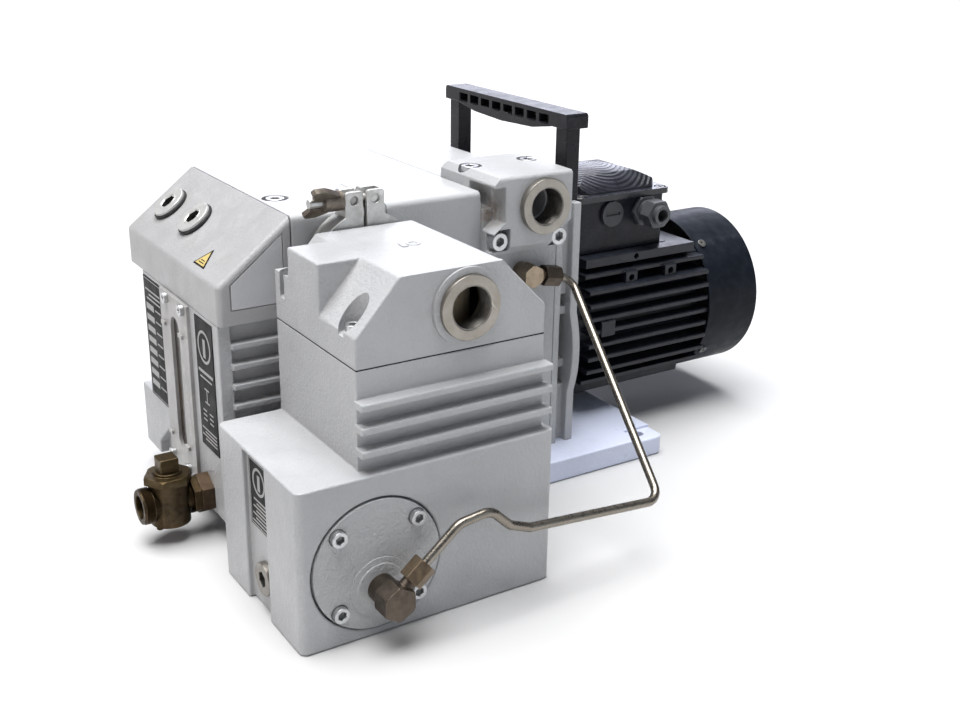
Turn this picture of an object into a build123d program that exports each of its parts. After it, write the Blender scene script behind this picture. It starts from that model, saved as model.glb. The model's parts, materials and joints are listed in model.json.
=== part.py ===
from build123d import *
import math
import os

# Two-stage oil-sealed rotary vane vacuum pump, in mm.
# +X runs along the shaft from the oil case to the motor, Y = 0 is the shaft plane, Z = 0 is the floor.
# X is drawn from the front of the hood; save() moves every piece so that the origin is at the base slots.

os.makedirs("parts", exist_ok=True)

# ---- driving dimensions --------------------------------------------------
AXIS_Z = 91.0            # height of the shaft line
HALF_W = 89.5            # half width of the pump castings
SPLIT_Z = 159.5          # joint between the lower castings and the covers
TOP_Z = 226.0            # top of the covers
CASE_FRONT = 52.0        # joint between oil case and pump case
COVER_BACK = 195.6       # joint between top cover and the intake end
CASE_BACK = 262.0        # joint between pump case and bell housing
BELL_BACK = 284.0        # motor flange face
DECK_BACK = 121.0        # joint between exhaust deck and top cover
HOOD_BACK = 51.5
HOOD_NOSE_Z = 186.0      # where the sloping face of the hood starts
FIN_TOP_Z, FIN_PITCH, FIN_T = 145.0, 14.0, 4.0

ROTOR_R, BORE_R, BORE_DROP = 38.0, 45.0, 6.9
SHAFT_R, RUN_FIT = 12.0, 0.05
RING_R, RING_HOLE_R = 20.0, 13.5          # port rings
INTAKE_X, INTAKE_Z, INTAKE_FACE = 237.0, 215.0, -107.0
EXH_X, EXH_Z = 104.3, 194.8               # outlet port on the filter lid

CLAMP_X, CLAMP_Z, CLAMP_Y, CLAMP_R = 96.0, 192.0, -100.0, 36.0
FLANGE_R = 28.0                           # clamped flanges between deck and filter
BOLT_Y, BOLT_Z = -101.5, 235.5
PIVOT_X, HINGE_Z = CLAMP_X + 7.7, 151.5

FLT_X0, FLT_X1, FLT_Y0, FLT_Y1, FLT_Z1 = -13.0, 164.0, -228.5, -110.5, 106.0
NECK_X0, NECK_X1, NECK_Y0, NECK_Z1 = 30.5, 160.0, -219.5, 168.0
LID_Z1 = 219.0
COVER_X, COVER_Z, COVER_R = 37.5, 48.0, 42.0
FITTING_X, FITTING_Z = 38.5, 33.0
UPPER_X, UPPER_Z = 230.5, 163.5
# each elbow: where it stands, which way it points, and its size
LOWER_ELBOW = (FITTING_X, FITTING_Z, FLT_Y0 - 2.5, 40.0, 1.0)
UPPER_ELBOW = (UPPER_X, UPPER_Z, -HALF_W, -10.0, 0.77)
BRANCH_OFF, TUBE_R = 15.6, 3.0

BASE_X0, BASE_X1, BASE_HALF, BASE_TOP = 172.0, 354.5, 117.5, 17.5
SLOT_X, SLOT_DX, SLOT_DY, SLOT_L, SLOT_W = 263.0, 146.0, 210.0, 14.0, 8.0

MOTOR_X1, COWL_X1, COWL_R = 441.0, 495.5, 67.7
FRAME_R, FRAME_IN = 54.0, 48.0
MOTOR_FIN_X0, MOTOR_FIN_PITCH, MOTOR_FIN_REACH = 316.0, 11.2, 65.0
BOX_X0, BOX_X1, BOX_HALF, BOX_Z1 = 318.0, 405.0, 42.0, 192.0
VALVE_Y, VALVE_Z, VALVE_X = -49.0, 28.0, -28.0


# ---- small helpers -------------------------------------------------------
def block(x0, x1, y0, y1, z0, z1):
    return Pos((x0 + x1) / 2, (y0 + y1) / 2, (z0 + z1) / 2) * Box(x1 - x0, y1 - y0, z1 - z0)


def rod_x(r, x0, x1, y=0.0, z=AXIS_Z):
    return Pos((x0 + x1) / 2, y, z) * Rot(0, 90, 0) * Cylinder(r, x1 - x0)


def rod_y(r, y0, y1, x, z):
    return Pos(x, (y0 + y1) / 2, z) * Rot(90, 0, 0) * Cylinder(r, y1 - y0)


def rod_z(r, z0, z1, x, y):
    return Pos(x, y, (z0 + z1) / 2) * Cylinder(r, z1 - z0)


def ring_x(r, hole, x0, x1, y=0.0, z=AXIS_Z):
    return rod_x(r, x0, x1, y, z) - rod_x(hole, x0 - 1, x1 + 1, y, z)


def hexagon(flats, length, origin, normal, up=(0, 0, 1)):
    plane = Plane(origin=origin, x_dir=up, z_dir=normal)
    return extrude(plane * RegularPolygon(flats / 2, 6, major_radius=False), length)


def hex_head(flats, length, origin, normal, up=(0, 0, 1), both=False):
    """A hexagon with its corners turned off at the outer end, or at both ends."""
    plane = Plane(origin=origin, x_dir=up, z_dir=normal)
    blank = extrude(plane * Circle(flats * 0.58), length)
    rims = blank.edges().sort_by(Axis(plane.origin, plane.z_dir))
    blank = chamfer([rims[0], rims[-1]] if both else [rims[-1]], flats * 0.05)
    return hexagon(flats, length, origin, normal, up) & blank


def slab_y(points, y0, y1):
    wire = Polyline(*[(x, y0, z) for x, z in points], close=True)
    return extrude(make_face(wire), y1 - y0, dir=(0, 1, 0))


def slot_x(height, width, x0, x1, y, z):
    plane = Plane(origin=(x0, y, z), x_dir=(0, 0, 1), z_dir=(1, 0, 0))
    return extrude(plane * SlotOverall(height, width), x1 - x0)


def cap_screw(head_r, head_h, shank_r, length, key, origin, normal):
    up = (0, 0, 1) if abs(normal[2]) < 0.9 else (1, 0, 0)
    seat = Plane(origin=origin, x_dir=up, z_dir=normal)
    head = extrude(seat * Circle(head_r), head_h)
    shank = extrude(seat * Circle(shank_r), -length)
    top = Plane(origin=seat.origin + seat.z_dir * head_h, x_dir=up, z_dir=normal)
    return head + shank - extrude(top * RegularPolygon(key / 2, 6, major_radius=False), -head_h * 0.6)


def shank_hole(radius, length, origin, normal):
    up = (0, 0, 1) if abs(normal[2]) < 0.9 else (1, 0, 0)
    return extrude(Plane(origin=origin, x_dir=up, z_dir=normal) * Circle(radius), -length)


def soften(shape, radius, axis, pick=lambda e: True):
    edges = [e for e in shape.edges().filter_by(axis) if pick(e.center())]
    return fillet(edges, radius) if edges else shape


def save(name, *solids):
    moved = [Pos(-SLOT_X, 0, 0) * s for s in solids]
    out = moved[0] if len(moved) == 1 else Compound(children=moved)
    out.label = name
    export_step(out, "parts/" + name + ".step")


# ---- screw places --------------------------------------------------------
def m8_places():
    return [((202.3, -97, 192.3), (0, -1, 0)), ((253, -97, 190), (0, -1, 0)),
            ((205, -60, 230), (0, 0, 1)), ((255, -60, 230), (0, 0, 1)), ((64, -38, 218), (0, 0, 1))]


def cover_screw_places():
    return [((COVER_X + a, -227.5, COVER_Z + b), (0, -1, 0)) for a in (-26, 26) for b in (-25, 25)]


def lid_screw_places():
    return [((39, -202, 184), (0, 0, 1)), ((39, -121.5, 184), (0, 0, 1)), ((152, -121.5, 184), (0, 0, 1))]


def sight_screw_places():
    return [((-2.5, y, z), (-1, 0, 0)) for y, z in ((3.4, 155), (-28.6, 155), (11.4, 34), (-20.6, 34))]


def cowl_screw_places():
    out = []
    for deg in (50, -36, 130, -144):
        a = math.radians(deg)
        n = (0, -math.cos(a), math.sin(a))
        out.append(((448.5, n[1] * COWL_R, AXIS_Z + n[2] * COWL_R), n))
    return out


def lid_corner_places():
    return [((x, y, 194), (0, 0, 1)) for x in (320.5, 402) for y in (-39, 39)]


# ---- oil case and hood ---------------------------------------------------
def fin_levels(count=9):
    return [FIN_TOP_Z - FIN_PITCH * i for i in range(count)]


def oil_case():
    body = block(0, CASE_FRONT, -82, 62, 16, SPLIT_Z) + block(14, CASE_FRONT, 61, 82, 16, SPLIT_Z)
    body += block(0, 9, -86, -81, 16, SPLIT_Z)
    body += block(0, 40, 55, 84, 16, 64)
    for z in fin_levels():
        body += block(8, CASE_FRONT, -HALF_W, -81, z - FIN_T / 2, z + FIN_T / 2)
        body += block(14, CASE_FRONT, 81, HALF_W, z - FIN_T / 2, z + FIN_T / 2)
    body -= block(8, 60, -76, 56, 60, 153) + block(18, 60, 50, 76, 60, 153) + block(14, 60, -76, 76, 22, 60)
    wedge = Polyline((-1, 22, 51), (-1, 53, 26), (-1, 53, 15), (-1, 22, 15), close=True)
    body -= extrude(make_face(wedge), 9, dir=(1, 0, 0))
    body -= slot_x(100, 17, -1, 9, -9.6, 94) + slot_x(108, 25, -1, 5, -9.6, 94)
    body -= rod_x(9, -1, 15, VALVE_Y, VALVE_Z)
    for seat, n in sight_screw_places():
        body -= shank_hole(2, 7.5, seat, n)
    return body


def sight_frame():
    frame = block(-2.5, 0, -35.5, 18, 27, 159)
    frame -= slot_x(100, 17, -3, 1, -9.6, 94)
    for y, z in ((9.9, 135), (-24, 135), (12, 51), (-22, 51)):
        frame += block(-4.5, -2.5, y - 3.5, y + 3.5, z - 1.5, z + 1.5)
    for seat, n in sight_screw_places():
        frame -= shank_hole(2, 7.5, seat, n)
    return frame


def sight_glass():
    return slot_x(108, 25, 0, 5, -9.6, 94)


def hood_profile(inset=0.0):
    lift = inset * 0.55
    return [(inset, SPLIT_Z), (inset, HOOD_NOSE_Z - lift), (HOOD_BACK + (1 if inset else 0), TOP_Z - inset * 1.27),
            (HOOD_BACK + (1 if inset else 0), SPLIT_Z)]


def slope_frame(x, y, lift=0.0):
    run, rise = HOOD_BACK, TOP_Z - HOOD_NOSE_Z
    n = Vector(-rise, 0, run).normalized()
    at = Vector(x, y, HOOD_NOSE_Z + rise * x / run) + n * lift
    return Plane(origin=at, x_dir=(0, 1, 0), z_dir=n)


def insert_outline(inset):
    return [(9 + inset, 169.5 + inset), (9 + inset, 186.5 - inset * 0.5),
            (46 - inset, 215.5 - inset * 0.8), (46 - inset, 169.5 + inset)]


def hood():
    shell = slab_y(hood_profile(), -HALF_W, HALF_W)
    shell = fillet([e for e in shell.edges() if e.center().X < HOOD_BACK - 1 and e.center().Z > SPLIT_Z + 1], 4)
    inner = slab_y([(x, z - (1 if z == SPLIT_Z else 0)) for x, z in hood_profile(4)], -HALF_W + 4, HALF_W - 4)
    shell -= inner
    for y in (58.4, 8.4):
        shell -= extrude(slope_frame(24.5, y) * Circle(8), 12, both=True)
    for y0 in (-HALF_W - 1, HALF_W - 1.5):
        shell -= slab_y(insert_outline(0), y0, y0 + 2.5)
    return shell


def hood_side_inserts():
    return [slab_y(insert_outline(0.5), y0, y0 + 1.5) for y0 in (-HALF_W, HALF_W - 1.5)]


def fill_plugs():
    out = []
    for y in (58.4, 8.4):
        plug = extrude(slope_frame(24.5, y) * Circle(13), 4.5) + extrude(slope_frame(24.5, y) * Circle(8), -12)
        plug -= extrude(slope_frame(24.5, y, 4.5) * RegularPolygon(5, 6, major_radius=False), -7)
        out.append(plug)
    return out


def labels():
    left = block(-0.6, 0, 21.4, 59.4, 64, 157)
    right = block(-0.6, 0, -76.6, -45.6, 64, 157)
    side = block(-9.6, -9, -181, -152, 54, 100)
    outline = Polyline((-9.5, 5), (9.5, 5), (0, -9.5), close=True)
    sticker = extrude(slope_frame(8.5, -46.8) * make_face(outline), 0.4)
    return [left, right, side, sticker]


# ---- drain valve ---------------------------------------------------------
def drain_adapter():
    hexa = hex_head(26, 9, (0, VALVE_Y, VALVE_Z), (-1, 0, 0))
    return hexa + rod_x(9, 0, 13, VALVE_Y, VALVE_Z) - rod_x(5, -10, 14, VALVE_Y, VALVE_Z)


def drain_valve_body():
    at = (VALVE_Y, VALVE_Z)
    body = rod_z(13.5, 13, 43, VALVE_X, VALVE_Y)
    body += rod_x(9, VALVE_X, -12, *at) + hexagon(24, 5, (-14, *at), (1, 0, 0))
    body += rod_x(10, VALVE_X - 19, VALVE_X, *at) + rod_x(12, -49, -41, *at)
    body -= rod_x(8, -50, -39, *at) + rod_x(5, -40, -8, *at)
    body -= rod_z(9, 17, 44, VALVE_X, VALVE_Y)
    return body + rod_z(2.5, 8, 13, -36, VALVE_Y) + block(-38.5, -33.5, VALVE_Y - 2.5, VALVE_Y + 2.5, 12, 17.5)


def drain_valve_bonnet():
    cap = hex_head(29, 6, (VALVE_X, VALVE_Y, 43), (0, 0, 1), (1, 0, 0)) + rod_z(9.5, 49, 51, VALVE_X, VALVE_Y)
    return cap - rod_z(4, 42, 52, VALVE_X, VALVE_Y)


def drain_valve_stem():
    stem = rod_z(3.95, 33, 52, VALVE_X, VALVE_Y) + rod_z(8.9, 18, 34, VALVE_X, VALVE_Y)
    stem -= rod_x(5, VALVE_X - 10, VALVE_X + 10, VALVE_Y, VALVE_Z)
    return stem + block(VALVE_X - 6.5, VALVE_X + 6.5, VALVE_Y - 6.5, VALVE_Y + 6.5, 51.2, 61)


# ---- pump castings -------------------------------------------------------
def pump_case():
    body = block(CASE_FRONT, 200, -84, 84, BASE_TOP, SPLIT_Z)
    body += block(196, CASE_BACK, -HALF_W, HALF_W, BASE_TOP, TOP_Z)
    body += block(CASE_FRONT, 60, -HALF_W, HALF_W, BASE_TOP, SPLIT_Z)
    for z in fin_levels():
        for y0 in (-HALF_W, 83):
            body += block(59, 197, y0, y0 + HALF_W - 83, z - FIN_T / 2, z + FIN_T / 2)
    body = soften(body, 5, Axis.X, lambda c: c.Z > TOP_Z - 1 and c.Y > 0)
    body -= block(51, 214, -77, 77, 24, 155)
    body -= rod_x(16, 213, 234) + rod_x(20, 232, 237) + rod_x(62, 236, 263)
    body -= block(195, 263, -HALF_W - 1, -35, 181, TOP_Z + 1)
    body -= block(195, 256, -18, 84, 166, TOP_Z - 5)
    body -= rod_z(8, 95, 182, 226, -44) + rod_x(6, 213, 226, -38, 99)
    body -= rod_y(5, -90, -80, UPPER_X, UPPER_Z)
    for seat, n in m8_places():
        body -= shank_hole(4, 75, seat, n)
    return body


def exhaust_deck():
    deck = block(CASE_FRONT + 0.4, DECK_BACK, -HALF_W, -22, SPLIT_Z, TOP_Z)
    deck = soften(deck, 4, Axis.X, lambda c: c.Z > TOP_Z - 1 and c.Y < -80)
    deck -= block(56.5, 116.5, -85, -26, SPLIT_Z - 1, TOP_Z - 4.5)
    deck += rod_z(9, SPLIT_Z, TOP_Z - 4, 64, -38)
    deck -= rod_z(9, 218, TOP_Z + 1, 64, -38) + shank_hole(4, 75, (64, -38, 218), (0, 0, 1))
    deck += rod_y(15, -96, -85, CLAMP_X, CLAMP_Z) + rod_y(FLANGE_R, CLAMP_Y, -96, CLAMP_X, CLAMP_Z)
    return deck - rod_y(12.5, -101, -84, CLAMP_X, CLAMP_Z)


def top_cover():
    cover = block(CASE_FRONT + 0.4, COVER_BACK, -21.6, HALF_W, SPLIT_Z, TOP_Z)
    cover += block(DECK_BACK + 0.6, COVER_BACK, -HALF_W, -21, SPLIT_Z, TOP_Z)
    edge = [e for e in cover.edges().filter_by(Axis.X)
            if e.center().Z > TOP_Z - 1 and abs(e.center().Y) > 80]
    cover = fillet(edge, 4)
    cover -= block(56, COVER_BACK - 3.6, -17.6, HALF_W - 4, SPLIT_Z - 1, TOP_Z - 4)
    return cover - block(DECK_BACK + 4.6, COVER_BACK - 3.6, -HALF_W + 4, -17, SPLIT_Z - 1, TOP_Z - 4)


def intake_block():
    outline = [(195.6, 181), (195.6, 233), (200.6, 238), (262, 238), (262, 181)]
    body = slab_y(outline, INTAKE_FACE, -35)
    under = Polyline((190, INTAKE_FACE - 1, 180), (190, INTAKE_FACE - 1, 189), (190, -98, 180), close=True)
    body -= extrude(make_face(under), 80, dir=(1, 0, 0))
    body = soften(body, 3, Axis.X, lambda c: c.Z > 237)
    body -= slab_y([(190, 231), (205, 231), (205, 206), (193, 197), (190, 197)], INTAKE_FACE - 1, -92)
    body -= block(190, 203, -93, -74, 214, 231)
    left_pocket = [(190, 185), (190, 193.5), (197, 199), (200, 201.5), (209.3, 201.5), (209.3, 185)]
    right_pocket = [(246, 183), (246, 196.5), (256, 197.5), (263, 203), (263, 183)]
    body -= slab_y(left_pocket, INTAKE_FACE - 1, -97) + slab_y(right_pocket, INTAKE_FACE - 1, -97)
    body -= rod_y(12, INTAKE_FACE - 1, -48, INTAKE_X, INTAKE_Z) + rod_z(12, 180, 225, 229, -51)
    body -= rod_y(RING_R - 4, INTAKE_FACE - 1, -92, INTAKE_X, INTAKE_Z)
    for seat, n in m8_places()[:4]:
        body -= shank_hole(4, 75, seat, n)
    for seat, n in m8_places()[2:4]:
        body -= shank_hole(8.5, -12, seat, n)
    return body


def port_rings():
    out = []
    for x, z, face, back in ((INTAKE_X, INTAKE_Z, INTAKE_FACE - 5, -92), (EXH_X, EXH_Z, -224.5, -209.5)):
        ring = rod_y(RING_R, face, face + 5, x, z) + rod_y(RING_R - 4, face + 5, back, x, z)
        out.append(ring - rod_y(RING_HOLE_R, face - 1, back + 1, x, z))
    return out


def retention_disc():
    return rod_z(11.9, 181.2, 184.2, 229, -51) + rod_z(4, 184, 188, 229, -51)


# ---- pumping module ------------------------------------------------------
def stator_ring(x0, x1):
    return rod_x(62, x0, x1) - rod_x(BORE_R, x0 - 1, x1 + 1, 0, AXIS_Z - BORE_DROP)


def stator_ring_high():
    return stator_ring(144, 214)


def stator_ring_low():
    return stator_ring(98, 132)


def end_plates():
    return [ring_x(62, 16, x0, x0 + 12) for x0 in (86, 132)]


def rotor(x0, x1, tail0, tail1):
    body = rod_x(ROTOR_R, x0, x1) - block(x0 - 1, x1 + 1, -3, 3, AXIS_Z - ROTOR_R - 1, AXIS_Z + ROTOR_R + 1)
    return body + rod_x(SHAFT_R, tail0, x0) + rod_x(SHAFT_R, x1, tail1)


def vanes():
    out = []
    for x0, x1 in ((144.1, 213.9), (98.1, 131.9)):
        for side in (-1, 1):
            z0, z1 = sorted((AXIS_Z + side * 7, AXIS_Z + side * (ROTOR_R - 0.4)))
            out.append(block(x0, x1, -3, 3, z0, z1))
    return out


def plain_bushes():
    return [ring_x(16, SHAFT_R + RUN_FIT, a, b) for a, b in ((214, 232), (132, 144), (86, 98))]


def shaft_seal():
    return ring_x(20, SHAFT_R + RUN_FIT, 232, 236)


# ---- coupling ------------------------------------------------------------
def jaws(x0, x1, start, reach=6.0):
    out = None
    for i in range(3):
        a = math.radians(start + 120 * i)
        r = 11 + reach
        spot = Pos((x0 + x1) / 2, r * math.cos(a), AXIS_Z + r * math.sin(a))
        jaw = spot * Rot(math.degrees(a), 0, 0) * Box(x1 - x0, 2 * reach, 12.0)
        out = jaw if out is None else out + jaw
    return out


def coupling_hubs():
    pump_side = ring_x(26, SHAFT_R, 239, 251) + (jaws(250, 262, 90) - rod_x(SHAFT_R, 240, 270))
    motor_side = ring_x(26, SHAFT_R, 264, 276) + (jaws(253, 265, 30) - rod_x(SHAFT_R, 240, 270))
    return [pump_side, motor_side]


def coupling_spider():
    return ring_x(23, SHAFT_R, 253, 262) - jaws(250, 262, 90, 8) - jaws(252, 265, 30, 8)


# ---- bell housing, base and handle ---------------------------------------
def bell_housing():
    body = block(CASE_BACK, 268, -HALF_W, HALF_W, BASE_TOP, 208) + block(267, 278, -83, 83, BASE_TOP, 208)
    body += block(277, BELL_BACK, -HALF_W, HALF_W, BASE_TOP, 208) + rod_x(95, 277, BELL_BACK)
    body = body - block(260, 290, -120, 120, -10, BASE_TOP) - rod_x(58, 261, 285)
    for side in (-1, 1):
        y0, y1 = sorted((side * 40, side * 100))
        for z0, z1 in ((64, 78), (84, 121), (127, 137)):
            body -= block(268, 277, y0, y1, z0, z1)
    return body - block(261, 278, -70, 70, 160, 200)


def base_plate():
    plate = block(BASE_X0, BASE_X1, -BASE_HALF, BASE_HALF, 0, BASE_TOP)
    plate = soften(plate, 6, Axis.Z)
    plate += block(56, BASE_X0 + 2, -84, 84, 0, BASE_TOP)
    plate -= block(BASE_X0 + 5, BASE_X1 - 5, -BASE_HALF + 5, BASE_HALF - 5, -1, 12)
    plate -= block(61, BASE_X0 - 4, -79, 79, -1, 12)
    for x in (SLOT_X - SLOT_DX / 2, SLOT_X + SLOT_DX / 2):
        for y in (-SLOT_DY / 2, SLOT_DY / 2):
            plate += block(x - 13, x + 13, y - 9, y + 9, 0, 13)
    plate -= block(BASE_X1 - 26, BASE_X1 + 1, -BASE_HALF - 1, -BASE_HALF + 19, 15, 20)
    plate -= block(BASE_X1 - 26, BASE_X1 + 1, BASE_HALF - 19, BASE_HALF + 1, 15, 20)
    for x in (SLOT_X - SLOT_DX / 2, SLOT_X + SLOT_DX / 2):
        for y in (-SLOT_DY / 2, SLOT_DY / 2):
            plate -= Pos(x, y, -1) * extrude(SlotOverall(SLOT_L, SLOT_W), 22)
    return plate


def rubber_feet():
    places = ((84, -60), (84, 60), (300, -86), (300, 86), (222, -86), (222, 86))
    return [rod_z(13, 0, 12, x, y) for x, y in places]


def handle_grip():
    under = [(-84.5, 261), (-84.5, 272), (84.5, 272), (84.5, 261), (66, 261), (40, 256.5), (0, 255), (-40, 256.5),
             (-66, 261)]
    wire = Polyline(*[(271, y, z) for y, z in under], close=True)
    grip = extrude(make_face(wire), 20, dir=(1, 0, 0))
    grip = soften(grip, 2.5, Axis.X, lambda c: c.Z > 271)
    for i in range(8):
        y = -56 + 16 * i
        grip -= block(270, 279, y - 6, y + 6, 262.5, 268.5)
    return grip


def handle_uprights():
    out = []
    for y in (-74.5, 74.5):
        post = block(274, 286, y - 7, y + 7, 208, 261) - block(277, 287, y - 4.5, y + 4.5, 222, 254)
        out.append(post)
    return out


# ---- exhaust clamp -------------------------------------------------------
def clamp_ring():
    ring = rod_y(CLAMP_R, CLAMP_Y - 8, CLAMP_Y + 8, CLAMP_X, CLAMP_Z)
    ring -= rod_y(FLANGE_R, CLAMP_Y - 4, CLAMP_Y + 4, CLAMP_X, CLAMP_Z)
    return ring - rod_y(15.5, CLAMP_Y - 9, CLAMP_Y + 9, CLAMP_X, CLAMP_Z)


def clamp_half(side):
    """One half of the ring with its lug on top and its hinge tongue below; side is -1 or 1 along X."""
    x0, x1 = sorted((CLAMP_X + side * 1.2, CLAMP_X + side * 14))
    lug = block(x0, x1, CLAMP_Y - 8, CLAMP_Y + 8, 214, 241.5)
    lug = soften(lug, 2.5, Axis.Y, lambda c: c.Z > 241)
    x0, x1 = sorted((CLAMP_X + side, CLAMP_X + side * 7))
    half = clamp_ring() + lug + block(x0, x1, CLAMP_Y - 3.9, CLAMP_Y + 3.9, 147.5, 160)
    x0, x1 = sorted((CLAMP_X + side, CLAMP_X - side * 40))
    half -= block(x0, x1, -130, -70, 140, 250)
    half -= rod_y(FLANGE_R, CLAMP_Y - 4, CLAMP_Y + 4, CLAMP_X, CLAMP_Z)
    half -= rod_y(15.5, CLAMP_Y - 9, CLAMP_Y + 9, CLAMP_X, CLAMP_Z)
    return half - rod_y(2, -110, -90, CLAMP_X + side * 4, HINGE_Z)


def clamp_half_hinged():
    half = clamp_half(-1) - block(80, CLAMP_X, BOLT_Y - 3.6, BOLT_Y + 3.6, 231.5, 243)
    return half - rod_y(2.7, CLAMP_Y - 9, CLAMP_Y - 5.4, CLAMP_X - 7.5, BOLT_Z)


def clamp_half_fixed():
    half = clamp_half(1) - block(CLAMP_X, PIVOT_X + 4.6, BOLT_Y - 3.6, BOLT_Y + 3.6, 229, 243)
    return half - rod_y(2.7, CLAMP_Y - 9, CLAMP_Y + 9, PIVOT_X, BOLT_Z)


def clamp_links():
    out = []
    for y0 in (CLAMP_Y - 7.9, CLAMP_Y + 3.9):
        plate = block(CLAMP_X - 7.5, CLAMP_X + 7.5, y0, y0 + 4, 148, 155)
        for dx in (-4, 4):
            plate -= rod_y(2, -110, -90, CLAMP_X + dx, HINGE_Z)
        out.append(plate)
    return out


def clamp_pins():
    pivot = rod_y(2.7, CLAMP_Y - 6, CLAMP_Y + 6, PIVOT_X, BOLT_Z)
    return [pivot] + [rod_y(2, -108.6, -91.4, CLAMP_X + dx, HINGE_Z) for dx in (-4, 4)] + clamp_links()


def clamp_swing_bolt():
    eye = rod_y(4.4, BOLT_Y - 3.2, BOLT_Y + 3.2, PIVOT_X, BOLT_Z) + rod_x(3, 59, PIVOT_X - 3, BOLT_Y, BOLT_Z)
    return eye - rod_y(2.7, -110, -90, PIVOT_X, BOLT_Z)


def clamp_wing_nut():
    hub = rod_x(6.5, 69, 81.9, BOLT_Y, BOLT_Z)
    for side in (-1, 1):
        wing = [(61, 4), (80, 4), (79, 7), (73, 10.5), (67, 13.4), (60, 13.4), (58, 11), (61, 7)]
        hub += slab_y([(x, BOLT_Z + side * z) for x, z in wing], BOLT_Y - 1.9, BOLT_Y + 1.9)
    hub = hub - rod_x(3.05, 56, 90, BOLT_Y, BOLT_Z)
    return Pos(0, BOLT_Y, BOLT_Z) * Rot(42, 0, 0) * Pos(0, -BOLT_Y, -BOLT_Z) * hub


# ---- exhaust filter ------------------------------------------------------
def filter_case():
    box = block(FLT_X0, FLT_X1, FLT_Y0, FLT_Y1, 0, FLT_Z1)
    box = soften(box, 5, Axis.Z)
    box += block(NECK_X0, NECK_X1, NECK_Y0, FLT_Y1, FLT_Z1 - 1, NECK_Z1)
    for z in (148, 133.5, 119):
        box += block(NECK_X0 - 1, NECK_X1 + 2, FLT_Y0 + 0.5, NECK_Y0 + 1, z - 2.3, z + 2.3)
    box -= block(FLT_X0 + 9, FLT_X1 - 5, FLT_Y0 + 12, FLT_Y1 - 5, 5, 100)
    box -= block(NECK_X0 + 5, NECK_X1 - 5, NECK_Y0 + 5, FLT_Y1 - 5, FLT_Z1, NECK_Z1 + 1)
    box -= rod_z(20, 99, 107, 95, -165)
    box -= block(FLT_X0 - 1, FLT_X0 + 4, -183, -150, -1, 103)
    box -= rod_y(COVER_R + 1.2, FLT_Y0 - 1, FLT_Y0 + 6, COVER_X, COVER_Z)
    box -= rod_y(32, FLT_Y0, FLT_Y0 + 13, COVER_X, COVER_Z) + rod_x(8, -10, 0, -172, 24)
    for seat, n in cover_screw_places():
        box -= shank_hole(3, 14, seat, n)
    for seat, n in lid_screw_places():
        box += rod_z(6.5, 150, NECK_Z1, seat[0], seat[1]) - rod_z(3, 140, 170, seat[0], seat[1])
        box -= shank_hole(3, 30, seat, n)
    return box


def lid_profile(d=0.0):
    return [(NECK_X0 + d, NECK_Z1 - (1 if d else 0)), (NECK_X0 + d, 187 - d * 0.4), (59 + d * 0.4, LID_Z1 - d),
            (128.5 - d * 0.4, LID_Z1 - d), (NECK_X1 - d, 187 - d * 0.4), (NECK_X1 - d, NECK_Z1 - (1 if d else 0))]


def filter_lid():
    lid = slab_y(lid_profile(), NECK_Y0, FLT_Y1)
    lid += block(NECK_X0, 62, -173.5, -131, 180, LID_Z1) + block(NECK_X0, 46, -132, FLT_Y1, 180, 200)
    lid += rod_y(24, NECK_Y0 - 1.8, NECK_Y0 + 1, EXH_X, EXH_Z)
    lid -= slab_y(lid_profile(5), NECK_Y0 + 5, FLT_Y1 - 5)
    lid += rod_y(RING_R, NECK_Y0, -209.5, EXH_X, EXH_Z)
    for seat, n in lid_screw_places():
        lid += rod_z(11.5, NECK_Z1, 222, seat[0], seat[1]) & slab_y(lid_profile(), NECK_Y0, FLT_Y1)
        lid -= shank_hole(3, 30, seat, n)
        lid -= rod_z(9, 184, 222, seat[0], seat[1])
    lid += rod_y(15, FLT_Y1 - 2, CLAMP_Y - 4, CLAMP_X, CLAMP_Z)
    lid += rod_y(FLANGE_R, CLAMP_Y - 4, CLAMP_Y, CLAMP_X, CLAMP_Z)
    lid -= rod_y(12.5, -117, CLAMP_Y + 1, CLAMP_X, CLAMP_Z)
    lid -= rod_y(RING_R - 4, -230, -209.5, EXH_X, EXH_Z)
    lid -= rod_y(RING_HOLE_R, -230, -200, EXH_X, EXH_Z)
    lid -= rod_y(RING_R + 0.01, -226, NECK_Y0, EXH_X, EXH_Z)
    return lid


def filter_element():
    return rod_z(38, FLT_Z1, 200, 95, -165) - rod_z(22, FLT_Z1 - 1, 194, 95, -165)


def filter_cover():
    plate = rod_y(COVER_R, FLT_Y0 - 1, FLT_Y0 + 6, COVER_X, COVER_Z)
    plate += rod_y(19.5, FLT_Y0 - 1.7, FLT_Y0, FITTING_X, FITTING_Z)
    plate += rod_y(15.5, FLT_Y0 - 2.5, FLT_Y0, FITTING_X, FITTING_Z)
    for x in (30.5, 44.5):
        plate += block(x - 1.5, x + 1.5, FLT_Y0 + 5, -205, 58, 68)
    plate -= rod_x(2, 20, 60, -209, 63) + rod_y(5, FLT_Y0 - 3, FLT_Y0 + 7, FITTING_X, FITTING_Z)
    for seat, n in cover_screw_places():
        plate -= shank_hole(3, 14, seat, n) + shank_hole(5.5, -6, seat, n)
    return plate


def float_arm():
    arm = rod_x(1.95, 29, 46, -209, 63) + block(34, 41, -212, -184, 60.5, 65.5)
    return arm + rod_z(17, 46, 80, 37.5, -168)


def along(elbow, dist):
    """A point on an elbow's branch, and the branch's direction."""
    x, z, face, deg, size = elbow
    a = math.radians(deg)
    way = (math.cos(a), 0, math.sin(a))
    return Vector(x + dist * way[0], face - BRANCH_OFF * size, z + dist * way[2]), way


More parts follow.
